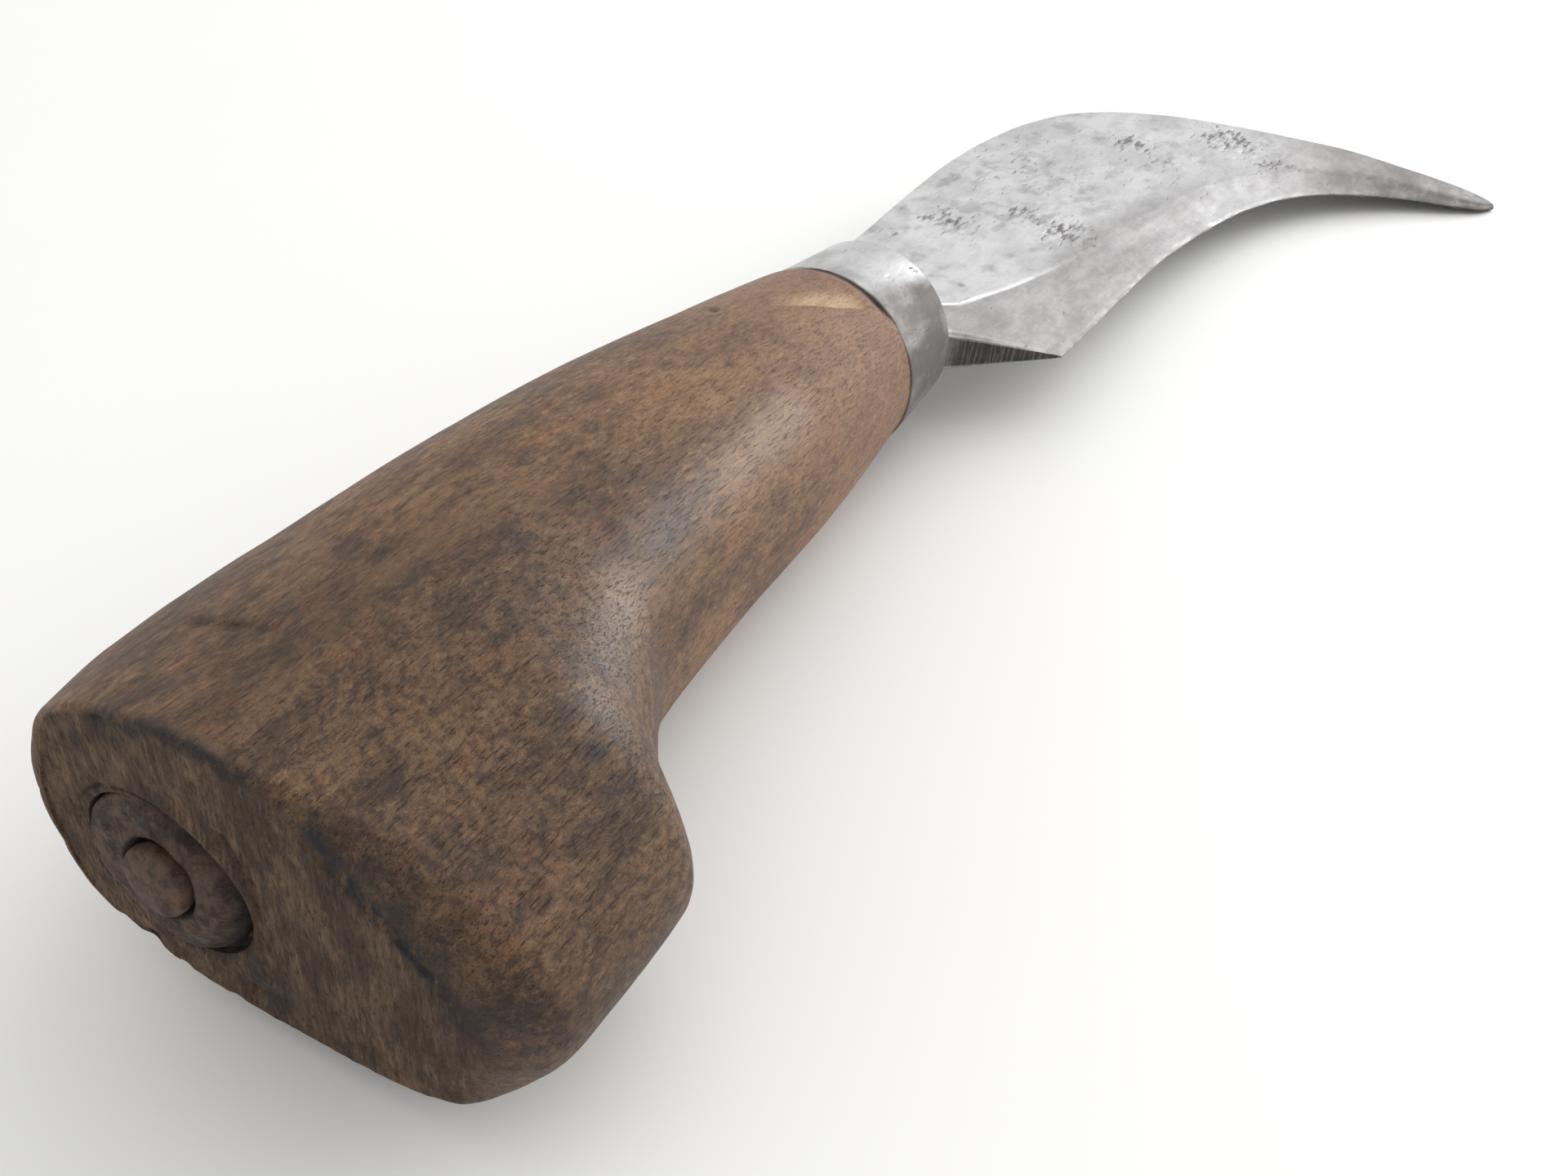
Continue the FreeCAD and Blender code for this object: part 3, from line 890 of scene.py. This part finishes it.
def wood_masks(wood, scrape):
    """The masks that the wood material paints by."""
    x = wood.x
    y = wood.y
    # Painted shade: the wood darkens towards the butt on its toe side, and a little more low on the toe.
    painted_butt_shade = smoothstep(-50, -84, x) * (1 - 0.85 * smoothstep(-4, 12, y))
    painted_butt_shade += 0.30 * smoothstep(-95, -108, x) * smoothstep(-16, -26, y)
    ridge = zip(POLISHED_RIDGE, POLISHED_RIDGE[1:])
    polish = [near_line(wood.rings, start, end, POLISH_HALF_WIDTH) for start, end in ridge]
    outer = {
        "scrape": scrape,
        "cuts_and_rim_shade": cuts_and_rim_shade_mask(wood),
        # Painted light towards the ferrule, which also calms the flecks there.
        "front": smoothstep(-52, -6, x),
        "painted_butt_shade": painted_butt_shade,
        "grimy": 0.25 + 0.5 * smoothstep(-30, -70, x),
        "polish": np.maximum(*polish),
        "figure": smoothstep(-66, -76, x) * smoothstep(2, -8, y) * (1 - wood.face),
    }
    masks = {name: value * wood.outside for name, value in outer.items()}
    masks["end_grain"] = np.maximum(wood.face * wood.outside, np.maximum(wood.recess, wood.nose))
    masks["stain_and_shade"] = stain_and_shade_mask(wood)
    return masks


def make_handle(material):
    """Grip and butt in one skin, carved by wear along its normals."""
    rings = handle_rings()
    wood = wood_grid(rings)
    rise, inside = scar(wood)
    relief = wood_relief(wood) - dug_out(wood) + rove_lip(wood) - SCAR_DEPTH * inside * (1 - rise)
    relief *= wood.outside * (wood.row < FACE_END - 1)
    shaved = smoothstep(-1.0, 0.3, noise(rings, (3.4, 2.6, 2.6), 11))
    masks = wood_masks(wood, inside * (1 - 0.5 * rise) * shaved)
    normals = grid_normals(rings, True)
    towards = ((rings - GRIP_MIDDLE) * normals).sum(-1)
    if towards[GRIP_ROWS].mean() < 0:
        normals = -normals
    rings = rings + normals * relief[..., None]
    return piece_from_rings("handle_wood", rings, True, masks, material, "handle", 50)


# ---------------------------------------------------------------- ferrule

FERRULE_COLUMNS = 288
FERRULE_EASING = 0.22
OUTSIDE_SHARE = 0.72             # of the profile's points, these lie on the outside


def make_ferrule(material):
    """Rolled sheet band, slightly dented, with worn rims."""
    angle = np.linspace(0, 2 * np.pi, FERRULE_COLUMNS, endpoint=False)
    circle = np.stack([0 * angle, np.cos(angle), np.sin(angle)], -1)
    profile = ferrule_profile()
    rings = np.array([circle * r + [x, 0, 0] for x, r in profile])
    outer = (np.arange(len(profile)) < len(profile) * OUTSIDE_SHARE)[:, None] * np.ones(FERRULE_COLUMNS)
    dents = 0.10 * noise(rings, (9, 8, 8), 21) + 0.05 * noise(rings, (4, 3, 3), 22)
    dents += 0.02 * noise(rings, (1.3, 1.3, 1.3), 23)
    rings[..., 0] += 0.14 * noise(rings * [0, 1, 1], (1, 6, 6), 24)
    rings += circle[None] * (dents * outer)[..., None]
    y = rings[..., 1]
    spots = smoothstep(0.42, 0.75, fractal(rings, (2.4, 1.7, 1.7), 3, 25))
    # Tarnish and painted shade: the band's toe side is darkened as if the light missed it, with patches of
    # tarnish over all.
    tarnish_and_shade = smoothstep(-3.0, -8.0, y + 0.2 * (rings[..., 0] - 4))
    tarnish_and_shade = tarnish_and_shade * (1.05 + 0.25 * noise(rings, (5, 4, 4), 27))
    tarnish_and_shade = np.maximum(tarnish_and_shade, 0.40 * smoothstep(0.0, 0.7, noise(rings, (7, 5, 5), 26)))
    masks = {"pit": spots * 0.5, "tarnish_and_shade": tarnish_and_shade, "rust": 0 * y, "striae": 0 * y}
    return piece_from_rings("ferrule_band", rings, True, masks, material, "ferrule", 60)


def ferrule_profile():
    """(x, radius) points round the wall: outside from rear to front, front rim, inside back, rear rim."""
    wall = FERRULE_WALL
    length = FERRULE_LENGTH
    slope = (FERRULE_FRONT_R - FERRULE_REAR_R) / length
    ease = FERRULE_EASING
    outside = [(x, FERRULE_REAR_R + slope * x) for x in np.linspace(ease, length - ease, 56)]
    front = [
        (length - ease * 0.3, FERRULE_FRONT_R - ease * 0.3),
        (length, FERRULE_FRONT_R - ease),
        (length, FERRULE_FRONT_R - wall + ease),
        (length - ease * 0.5, FERRULE_FRONT_R - wall),
    ]
    inside = [(x, FERRULE_REAR_R - wall + slope * x) for x in np.linspace(length - 0.6, 0.4, 10)]
    rear = [
        (0.1, FERRULE_REAR_R - wall + 0.02),
        (0.0, FERRULE_REAR_R - wall + ease),
        (0.0, FERRULE_REAR_R - ease),
        (ease * 0.3, FERRULE_REAR_R - ease * 0.3),
    ]
    return outside + front + inside + rear


# ---------------------------------------------------------------- blade

# Spine x and y, cutting edge x and y, width of the edge bevel, thickness of the body.
BLADE_STATIONS = np.array((
    (22.1, 12.9, 26.5, -27.6, 17.5, 7.4),
    (37.1, 14.3, 38.6, -28.0, 14.0, 5.8),
    (54.1, 15.9, 55.6, -28.3, 11.0, 4.6),
    (73.1, 17.1, 75.1, -29.4, 9.4, 3.9),
    (90.1, 16.6, 93.1, -32.3, 8.8, 3.5),
    (106.1, 14.1, 104.1, -35.1, 8.8, 3.2),
    (119.6, 8.8, 113.6, -38.9, 8.8, 3.0),
    (130.6, -0.6, 120.6, -43.4, 8.6, 2.8),
    (138.6, -14.0, 126.6, -49.2, 8.2, 2.6),
    (144.1, -27.8, 130.7, -54.8, 7.6, 2.4),
    (147.4, -40.5, 133.5, -59.5, 6.4, 2.2),
    (148.4, -52.0, 135.7, -63.9, 4.6, 2.0),
    (147.9, -62.0, 138.1, -69.0, 2.5, 1.7),
    (146.3, -71.0, 141.6, -74.0, 1.2, 1.4),
    (145.2, -73.4, 143.3, -75.0, 0.6, 1.2),
))
SPINE_EASING = 0.8
EDGE_HALF = 0.12
MICRO_WIDTH = 0.9
MICRO_HALF = 0.34
SHOULDER_THINNING = 0.94         # the body keeps this share of its thickness where the bevel starts
BEVEL_HOLLOW = 0.06
TANG_REAR_SIZE = 5.0
TANG_FRONT_WIDTH = 11.0
TANG_FRONT_THICKNESS = 7.0
KNOB_SHOULDER = 0.88             # the knob's dome turns over at this share of its radius
NECK_WIDTH = 23.2
NECK_THICKNESS = 7.8
BODY_ROWS = 360
NECK_ROWS = 22
EASE_COLUMNS = 4
BODY_COLUMNS = 66
BEVEL_COLUMNS = 30
MICRO_COLUMNS = 4
EDGE_COLUMNS = 12
SPINE_COLUMNS = 8
BEVEL_START = EASE_COLUMNS + BODY_COLUMNS
FACE_COLUMNS = BEVEL_START + BEVEL_COLUMNS + MICRO_COLUMNS
TOP_WIDENING = 0.8               # spread of the upper face's pits across the blade, as a share of that along
LOW_WIDENING = 1.3               # and of the lower face's
RUST_DOT_X = 30.5
RUST_DOT_Y = -7.4
RUST_DOT_R = 0.7


def blade_stations():
    """The listed stations drawn out into smooth rows."""
    middle = (BLADE_STATIONS[:, :2] + BLADE_STATIONS[:, 2:4]) / 2
    run = np.concatenate([[0], np.cumsum(np.linalg.norm(np.diff(middle, axis=0), axis=1))])
    place = np.linspace(0, run[-1], BODY_ROWS)
    columns = [smooth_curve(run, BLADE_STATIONS[:, k], place, k > 3) for k in range(6)]
    return np.stack(columns, -1)


def half_section(width, bevel, thickness):
    """(distance from the spine, half thickness) down one face, from spine corner to cutting edge."""
    half = thickness / 2
    ease = min(SPINE_EASING, width / 6, half * 0.7)
    micro = min(MICRO_WIDTH, bevel * 0.3)
    points = []
    for turn in np.linspace(0, math.pi / 2, EASE_COLUMNS, endpoint=False):
        points.append((ease * (1 - math.cos(turn)), half - ease + ease * math.sin(turn)))
    shoulder = width - bevel
    shoulder_half = half * SHOULDER_THINNING
    micro_half = min(MICRO_HALF, shoulder_half * 0.6)
    for t in np.linspace(0, 1, BODY_COLUMNS, endpoint=False):
        q = ease + (shoulder - ease) * t
        points.append((q, half + (shoulder_half - half) * t))
    for t in np.linspace(0, 1, BEVEL_COLUMNS, endpoint=False):
        q = shoulder + (bevel - micro) * t
        straight = shoulder_half + (micro_half - shoulder_half) * t
        round_off = 0.06 * (shoulder_half - micro_half) * math.exp(-(t / 0.12) ** 2)
        points.append((q, straight - round_off - BEVEL_HOLLOW * math.sin(math.pi * t)))
    for t in np.linspace(0, 1, MICRO_COLUMNS):
        points.append((width - micro + micro * t, micro_half + (EDGE_HALF - micro_half) * t))
    return np.array(points)


def closed_ring(upper_flat, upper_half):
    """Ring round a section from its upper face: plan points and half thicknesses, mirrored below."""
    upper = np.column_stack([upper_flat, upper_half])
    lower = upper[::-1] * [1, 1, -1]
    edge_t = np.linspace(0, 1, EDGE_COLUMNS + 2)[1:-1, None]
    edge = upper[-1] * (1 - edge_t) + lower[0] * edge_t
    spine_t = np.linspace(0, 1, SPINE_COLUMNS + 2)[1:-1, None]
    spine = lower[-1] * (1 - spine_t) + upper[0] * spine_t
    return np.vstack([upper, edge, lower, spine])


def blade_ring(row):
    """Ring round the blade at one row of the drawn-out stations."""
    spine = row[:2]
    edge = row[2:4]
    inward = edge - spine
    width = np.linalg.norm(inward)
    inward = inward / width
    section = half_section(width, row[4], row[5])
    return closed_ring(spine + section[:, :1] * inward, section[:, 1])


def neck_ring():
    """The thick bar at the ferrule's mouth, with the same columns as a blade section."""
    share = half_section(40.0, 17.5, NECK_THICKNESS)[:, 0] / 40.0
    y = NECK_WIDTH / 2 - NECK_WIDTH * share
    round_off = np.exp(-((NECK_WIDTH / 2 - np.abs(y)) / 0.7) ** 2)
    half = NECK_THICKNESS / 2 - 0.8 * round_off
    return closed_ring(np.column_stack([0 * y + NECK_X, y]), half)


def ring_bearings(ring):
    """Angle of each column round the middle of the neck."""
    return np.arctan2(ring[:, 2] / NECK_THICKNESS, ring[:, 1] / NECK_WIDTH)


def tang_rings(neck):
    """Tang from its peened end to the neck, with the neck's columns."""
    bearing = ring_bearings(neck)
    centre = rove_centre()
    circle = rove_circle(-bearing)
    rings = []
    top = ROVE_CROWN + KNOB_HEIGHT
    for reach in (0.1, 0.25, 0.4, 0.52, 0.62, 0.70, 0.77, 0.83, KNOB_SHOULDER):
        rise = top + KNOB_DOME * (1 - (reach / KNOB_SHOULDER) ** 2)
        rings.append(centre + circle * KNOB_R * reach + ROVE_NORMAL * rise)
    for turn in np.linspace(0, math.pi / 2, 8)[1:]:
        reach = KNOB_R * (KNOB_SHOULDER + (1 - KNOB_SHOULDER) * math.sin(turn))
        rings.append(centre + circle * reach + ROVE_NORMAL * (top - 0.6 * (1 - math.cos(turn))))
    rings.append(centre + circle * KNOB_R + ROVE_NORMAL * (ROVE_CROWN + 0.2))
    rings.append(centre + circle * (KNOB_R + 0.02) + ROVE_NORMAL * (ROVE_CROWN - 0.05))
    rings.append(centre + circle * SHANK_R - ROVE_NORMAL * ROVE_THICKNESS)
    rings.append(centre + circle * SHANK_R * 0.93 - ROVE_NORMAL * (ROVE_THICKNESS + 1.5))
    square = np.stack([np.cos(bearing), np.sin(bearing)], -1)
    square /= np.abs(square).max(-1, keepdims=True)
    rear = centre - ROVE_NORMAL * (ROVE_THICKNESS + 3.0)
    front = np.array([NECK_X - 0.05, 0, 0])
    for share in (0.0, 0.25, 0.5, 0.75, 1.0):
        middle = rear * (1 - share) + front * share
        width = TANG_REAR_SIZE * (1 - share) + TANG_FRONT_WIDTH * share
        thickness = TANG_REAR_SIZE * (1 - share) + TANG_FRONT_THICKNESS * share
        flat = np.stack([0 * bearing, square[:, 0] * width / 2, square[:, 1] * thickness / 2], -1)
        rings.append(middle + flat)
    return rings


# x, y, spread, how many, largest radius, depth
PIT_CLUSTERS = (
    (51.6, 5.5, 5.0, 26, 0.9, 0.16),
    (40.1, 11.3, 2.2, 7, 0.8, 0.14),
    (64.1, -12.0, 4.6, 46, 1.05, 0.22),
    (65.1, -3.0, 4.0, 18, 0.8, 0.16),
    (113.1, -6.5, 4.5, 22, 1.15, 0.18),
    (110.1, -15.0, 4.0, 12, 0.9, 0.15),
    (132.1, -22.0, 6.5, 34, 1.3, 0.2),
    (126.1, -32.0, 5.0, 18, 1.0, 0.16),
    (83.1, 4.0, 16.0, 26, 0.6, 0.07),
    (98.1, -12.0, 14.0, 20, 0.6, 0.05),
)


def pit_list(seed, widening):
    """Scattered pits, (x, y, long radius, short radius, depth), clustered as rust leaves them."""
    chance = np.random.RandomState(seed)
    pits = []
    for x, y, spread, count, radius, depth in PIT_CLUSTERS:
        for _ in range(count):
            px = x + chance.normal() * spread
            py = y + chance.normal() * spread * widening
            short_r = radius * (0.35 + 0.65 * chance.rand())
            long_r = short_r * (1.0 + 0.8 * chance.rand())
            pits.append((px, py, long_r, short_r, depth * (0.5 + 0.5 * chance.rand())))
    return pits


def pitting(points, pits):
    """Depth in mm of all the pits together at these points."""
    depth = np.zeros(points.shape[:-1])
    wobble = noise(points, (1.1, 1.1, 1.1), 41) * 0.35
    for x, y, long_r, short_r, deep in pits:
        gap = ((points[..., 0] - x) / long_r) ** 2 + ((points[..., 1] - y) / short_r) ** 2
        inside = np.clip(1.15 - np.sqrt(gap) + wobble, 0, 1)
        depth = np.maximum(depth, deep * inside * inside * (3 - 2 * inside))
    return depth


def pit_zones(points, widening):
    """Where fine dark specks crowd, from 0 to 1."""
    zone = np.zeros(points.shape[:-1])
    for x, y, spread, _, _, depth in PIT_CLUSTERS:
        gap = ((points[..., 0] - x) ** 2 + (points[..., 1] - y) ** 2) / (1.2 * spread * widening) ** 2
        zone = np.maximum(zone, min(1.0, depth / 0.2) * np.exp(-gap))
    return zone


def blade_rings():
    """(rings from the tang's peened end to the point, how many of them are the tang's)."""
    neck = neck_ring()
    tang = tang_rings(neck)
    body = [blade_ring(row) for row in blade_stations()]
    shares = np.linspace(0, 1, NECK_ROWS, endpoint=False)
    heel = [neck * (1 - share) + body[0] * share for share in shares]
    return np.array(tang + heel + body), len(tang)


def blade_grid():
    """The unworn blade: its rings, normals pointing out of the steel, and its zones from 0 to 1."""
    rings, tang_count = blade_rings()
    row = np.arange(len(rings))[:, None] * np.ones(rings.shape[1])
    column = np.arange(rings.shape[1])[None, :] * np.ones((len(rings), 1))
    body_start = tang_count + NECK_ROWS
    normals = grid_normals(rings, False)
    top = rings[..., 2] > 0
    outward = np.sign((normals[..., 2] * np.where(top, 1, -1))[body_start + 20].mean())
    normals = normals * outward
    edge_side = (column >= FACE_COLUMNS) & (column < FACE_COLUMNS + EDGE_COLUMNS)
    near_edge = (column >= FACE_COLUMNS - 1) & (column <= FACE_COLUMNS + EDGE_COLUMNS)
    mirrored_bevel = FACE_COLUMNS + EDGE_COLUMNS + MICRO_COLUMNS + BEVEL_COLUMNS
    return SimpleNamespace(
        rings=rings,
        normals=normals,
        top=top,
        column=column,
        on_blade=smoothstep(tang_count, tang_count + 6, row),
        flat_side=smoothstep(0.5, 0.9, np.abs(normals[..., 2])),
        on_bevel=1.0 * ((column > BEVEL_START) & (column < mirrored_bevel)),
        heel_face=1.0 * (edge_side & (row < body_start)),
        edge=1.0 * (near_edge & (row >= body_start)),
        inland=smoothstep(len(rings) - 1, len(rings) - 26, row),
    )


def worn_blade(steel):
    """The rings after forging waves and pits, strokes of a file on the heel and nicks along the edge."""
    rings = steel.rings
    waves = 0.11 * noise(rings, (17, 11, 50), 31) + 0.05 * noise(rings, (7, 5, 50), 32)
    waves += 0.012 * fractal(rings, (2.2, 1.6, 9), 3, 33)
    pits_above = pitting(rings, pit_list(5, TOP_WIDENING))
    pits_below = pitting(rings, pit_list(6, LOW_WIDENING))
    depth = np.where(steel.top, pits_above, pits_below) * (1 - 0.75 * steel.on_bevel)
    relief = (waves - depth) * steel.flat_side * steel.on_blade * steel.inland
    rings = rings + steel.normals * relief[..., None]
    strokes = noise(rings, (0.55, 0.5, 40), 36) * steel.heel_face * steel.on_blade
    rings = rings + steel.normals * (0.07 * strokes)[..., None]
    nicks = noise(rings * [1, 1, 0], (1.6, 1.6, 1), 37) * steel.edge * steel.inland
    return rings + steel.normals * (0.10 * nicks)[..., None]


def blade_masks(steel, worn):
    """The masks that the steel material paints by, for the unworn blade and its worn rings."""
    x = worn[..., 0]
    y = worn[..., 1]
    on_blade = steel.on_blade
    far = smoothstep(104, 146, x) * smoothstep(-10, -60, y)
    tarnish_and_shade = 0.80 * far + 0.55 * steel.heel_face + 0.12 * smoothstep(70, 110, x) * on_blade
    # Tarnish and painted shade: the edge bevel, and the fillet along its shoulder, are darkened to stand in
    # for the bevel's darker reflection and to dim the shoulder's highlight.
    shoulder_end = BEVEL_START + 1
    shoulder = smoothstep(shoulder_end - 16, shoulder_end, steel.column) * smoothstep(36, 56, x)
    bevel_tarnish_and_shade = np.maximum(steel.on_bevel, shoulder * (steel.column <= shoulder_end))
    tarnish_and_shade = tarnish_and_shade + 0.60 * bevel_tarnish_and_shade * on_blade * (1 - 0.6 * smoothstep(60, 120, x))
    patina = smoothstep(0.35, 0.8, fractal(steel.rings, (5, 2.6, 30), 3, 35)) * 0.35
    tarnish_and_shade = np.maximum(tarnish_and_shade, patina * on_blade * (1 - steel.on_bevel))
    rust_dot = np.hypot(x - RUST_DOT_X, y - RUST_DOT_Y) / RUST_DOT_R
    rust = np.maximum(smoothstep(-60, -100, x), 0.7 * np.exp(-rust_dot ** 2) * (worn[..., 2] > 0))
    zones_above = pit_zones(steel.rings, 1.0)
    zones_below = pit_zones(steel.rings, 1.6)
    zone = np.where(steel.top, zones_above, zones_below) * (1 - 0.55 * steel.on_bevel)
    return {
        "pit": np.clip(zone * steel.flat_side * on_blade, 0, 1),
        "tarnish_and_shade": np.clip(tarnish_and_shade, 0, 1),
        "rust": rust,
        "striae": steel.heel_face * on_blade,
    }


def make_blade(material):
    """Blade, neck and tang as one skin."""
    steel = blade_grid()
    worn = worn_blade(steel)
    masks = blade_masks(steel, worn)
    return piece_from_rings("blade_and_tang", worn, False, masks, material, "blade", 28)


# ---------------------------------------------------------------- rove

ROVE_COLUMNS = 200
ROVE_RIM_EASING = 0.9


def make_rove(material):
    """Thick rusted washer, domed, hammered a little out of round and worn low on its toe side."""
    angle = np.linspace(0, 2 * np.pi, ROVE_COLUMNS, endpoint=False)
    circle = rove_circle(angle)
    profile = rove_profile()
    rings = np.array([rove_centre() + circle * r + ROVE_NORMAL * h for r, h in profile])
    reach = np.array([r for r, _ in profile])[:, None]
    height = np.array([h for _, h in profile])[:, None]
    face = smoothstep(-1.2, -0.3, height)
    toe_side = smoothstep(-0.1, 0.8, circle @ TOEWARDS)[None, :]
    worn = smoothstep(6.8, 9.0, reach) * toe_side
    edge = smoothstep(8.0, 9.4, reach)
    out_of_round = 0.22 * noise(rings, (5, 5, 5), 51) + 0.10 * noise(rings, (1.8, 1.8, 1.8), 54)
    rings += circle[None] * (edge * (np.minimum(out_of_round, 0.25) - 0.5 * toe_side))[..., None]
    bent = smoothstep(5.0, 9.4, reach) * smoothstep(-0.3, 0.9, circle @ [0, 0.75, 0.65])[None, :]
    crust = 0.20 * fractal(rings, (3.2, 3.2, 3.2), 5, 52) - 1.3 * worn + 1.1 * bent
    rings += ROVE_NORMAL * (crust * face)[..., None]
    pit = smoothstep(0.35, 0.9, -fractal(rings, (2.0, 2.0, 2.0), 3, 53)) * 0.7
    # Painted shade: the countersink round the knob and the low worn toe side of the rove are darkened, in
    # the pit mask with the real pits.
    shade = np.maximum(pit, 0.8 * smoothstep(COUNTERSINK_R + 0.5, COUNTERSINK_R - 0.1, reach))
    shade = np.maximum(shade, 0.95 * worn)
    return piece_from_rings("rove_washer", rings, True, {"pit": shade}, material, "rove", 60)


def rove_profile():
    """(radius, height) points round the washer's section, starting at the countersink's foot."""
    points = []
    ease = ROVE_RIM_EASING
    lip = COUNTERSINK_R + 0.15
    for t in np.linspace(0, 1, 8, endpoint=False):
        rise = (ROVE_CROWN + ROVE_THICKNESS) * t
        points.append((SEAT_R + (COUNTERSINK_R - SEAT_R) * t, -ROVE_THICKNESS + rise))
    for t in np.linspace(0, 1, 40):
        points.append((lip + (ROVE_R - ease - lip) * t, ROVE_CROWN * (1 - t ** 2.2)))
    for turn in np.linspace(0, math.pi / 2, 8)[1:]:
        points.append((ROVE_R - ease + ease * math.sin(turn), -ease + ease * math.cos(turn)))
    points.append((ROVE_R, -1.5))
    points.append((ROVE_R, -ROVE_THICKNESS + 0.1))
    points.append((ROVE_R - 0.2, -ROVE_THICKNESS + 0.02))
    points.append((6.0, -ROVE_THICKNESS + 0.02))
    return points


# ---------------------------------------------------------------- studio

# The camera's place in mm and its directions, all in the tool's own frame.
CAMERA_PLACE = (-151.15, -74.06, 102.44)
CAMERA_RIGHT = (0.52428, -0.84514, 0.10426)
CAMERA_UP = (0.52272, 0.41606, 0.74408)
LENS_MM = 29.9
SENSOR_MM = 36.0
# The floor's half width and its mottling, in metres, and its darkest and palest colours.
FLOOR_REACH = 3.0
FLOOR_GRAIN = 0.06
FLOOR_LOW = (0.895, 0.895, 0.885)
FLOOR_HIGH = (0.915, 0.915, 0.905)
SURROUND = (1.0, 0.995, 0.985, 1)
TOWARDS_WINDOW = (0.90, 0.02, 0.42)


def make_floor():
    """Plain pale table top under the tool."""
    mesh = bpy.data.meshes.new("floor")
    corners = [(x * FLOOR_REACH, y * FLOOR_REACH, 0) for x, y in ((-1, -1), (1, -1), (1, 1), (-1, 1))]
    mesh.from_pydata(corners, [], [(0, 1, 2, 3)])
    material, tree = new_material("pale_table")
    place = result(tree, "ShaderNodeTexCoord", output="Object")
    colour = blend(blobs(place, (FLOOR_GRAIN, FLOOR_GRAIN, FLOOR_GRAIN)), FLOOR_LOW, FLOOR_HIGH)
    surface = result(tree, "ShaderNodeBsdfPrincipled", {"Base Color": colour, "Roughness": 0.38})
    node(tree, "ShaderNodeOutputMaterial", {"Surface": surface})
    mesh.materials.append(material)
    floor = bpy.data.objects.new("floor", mesh)
    bpy.context.collection.objects.link(floor)


def area_light(name, place, size, power):
    """Soft rectangular light turned to the middle of the table; places and sizes are in metres."""
    data = bpy.data.lights.new(name, "AREA")
    data.shape = "RECTANGLE"
    data.size = size[0]
    data.size_y = size[1]
    data.energy = power
    light = bpy.data.objects.new(name, data)
    light.location = place
    light.rotation_euler = (-Vector(place)).to_track_quat("-Z", "Y").to_euler()
    bpy.context.collection.objects.link(light)


def make_lights():
    """Soft low window beyond the blade, a light overhead, and a pale surround that is dimmer behind us."""
    area_light("window", (1.00, -0.42, 0.28), (0.60, 0.36), 6.5)
    area_light("overhead", (0.75, -0.45, 1.00), (1.3, 1.3), 5)
    world = bpy.data.worlds.new("surround")
    bpy.context.scene.world = world
    world.use_nodes = True
    tree = world.node_tree
    tree.nodes.clear()
    direction = result(tree, "ShaderNodeTexCoord", output="Generated")
    lean = vectors("DOT_PRODUCT", direction, TOWARDS_WINDOW, "Value")
    strength = span(lean, -0.45, 0.95, 0.62, 1.05)
    background = result(tree, "ShaderNodeBackground", {"Color": SURROUND, "Strength": strength})
    node(tree, "ShaderNodeOutputWorld", {"Surface": background})


def make_camera():
    """Close phone-like view from behind the butt, looking down along the tool."""
    data = bpy.data.cameras.new("camera")
    data.lens = LENS_MM
    data.sensor_width = SENSOR_MM
    data.clip_start = 0.01
    camera = bpy.data.objects.new("camera", data)
    right = Vector(CAMERA_RIGHT)
    back = right.cross(Vector(CAMERA_UP))
    up = back.cross(right)
    pose = Matrix.Identity(4)
    for column, axis in enumerate((right.normalized(), up.normalized(), back.normalized())):
        for k in range(3):
            pose[k][column] = axis[k]
    for k in range(3):
        pose[k][3] = CAMERA_PLACE[k] * MM
    camera.matrix_world = TOOL_TO_WORLD @ pose
    bpy.context.collection.objects.link(camera)
    bpy.context.scene.camera = camera


def main():
    """Build the four pieces and the studio round them."""
    make_handle(wood_material())
    make_ferrule(steel_material("ferrule_steel", FERRULE_BASE, FERRULE_DARK))
    make_blade(steel_material("blade_steel", BLADE_BASE, BLADE_DARK))
    make_rove(rust_material())
    make_floor()
    make_lights()
    make_camera()
    bpy.context.scene.view_settings.view_transform = "Standard"


main()
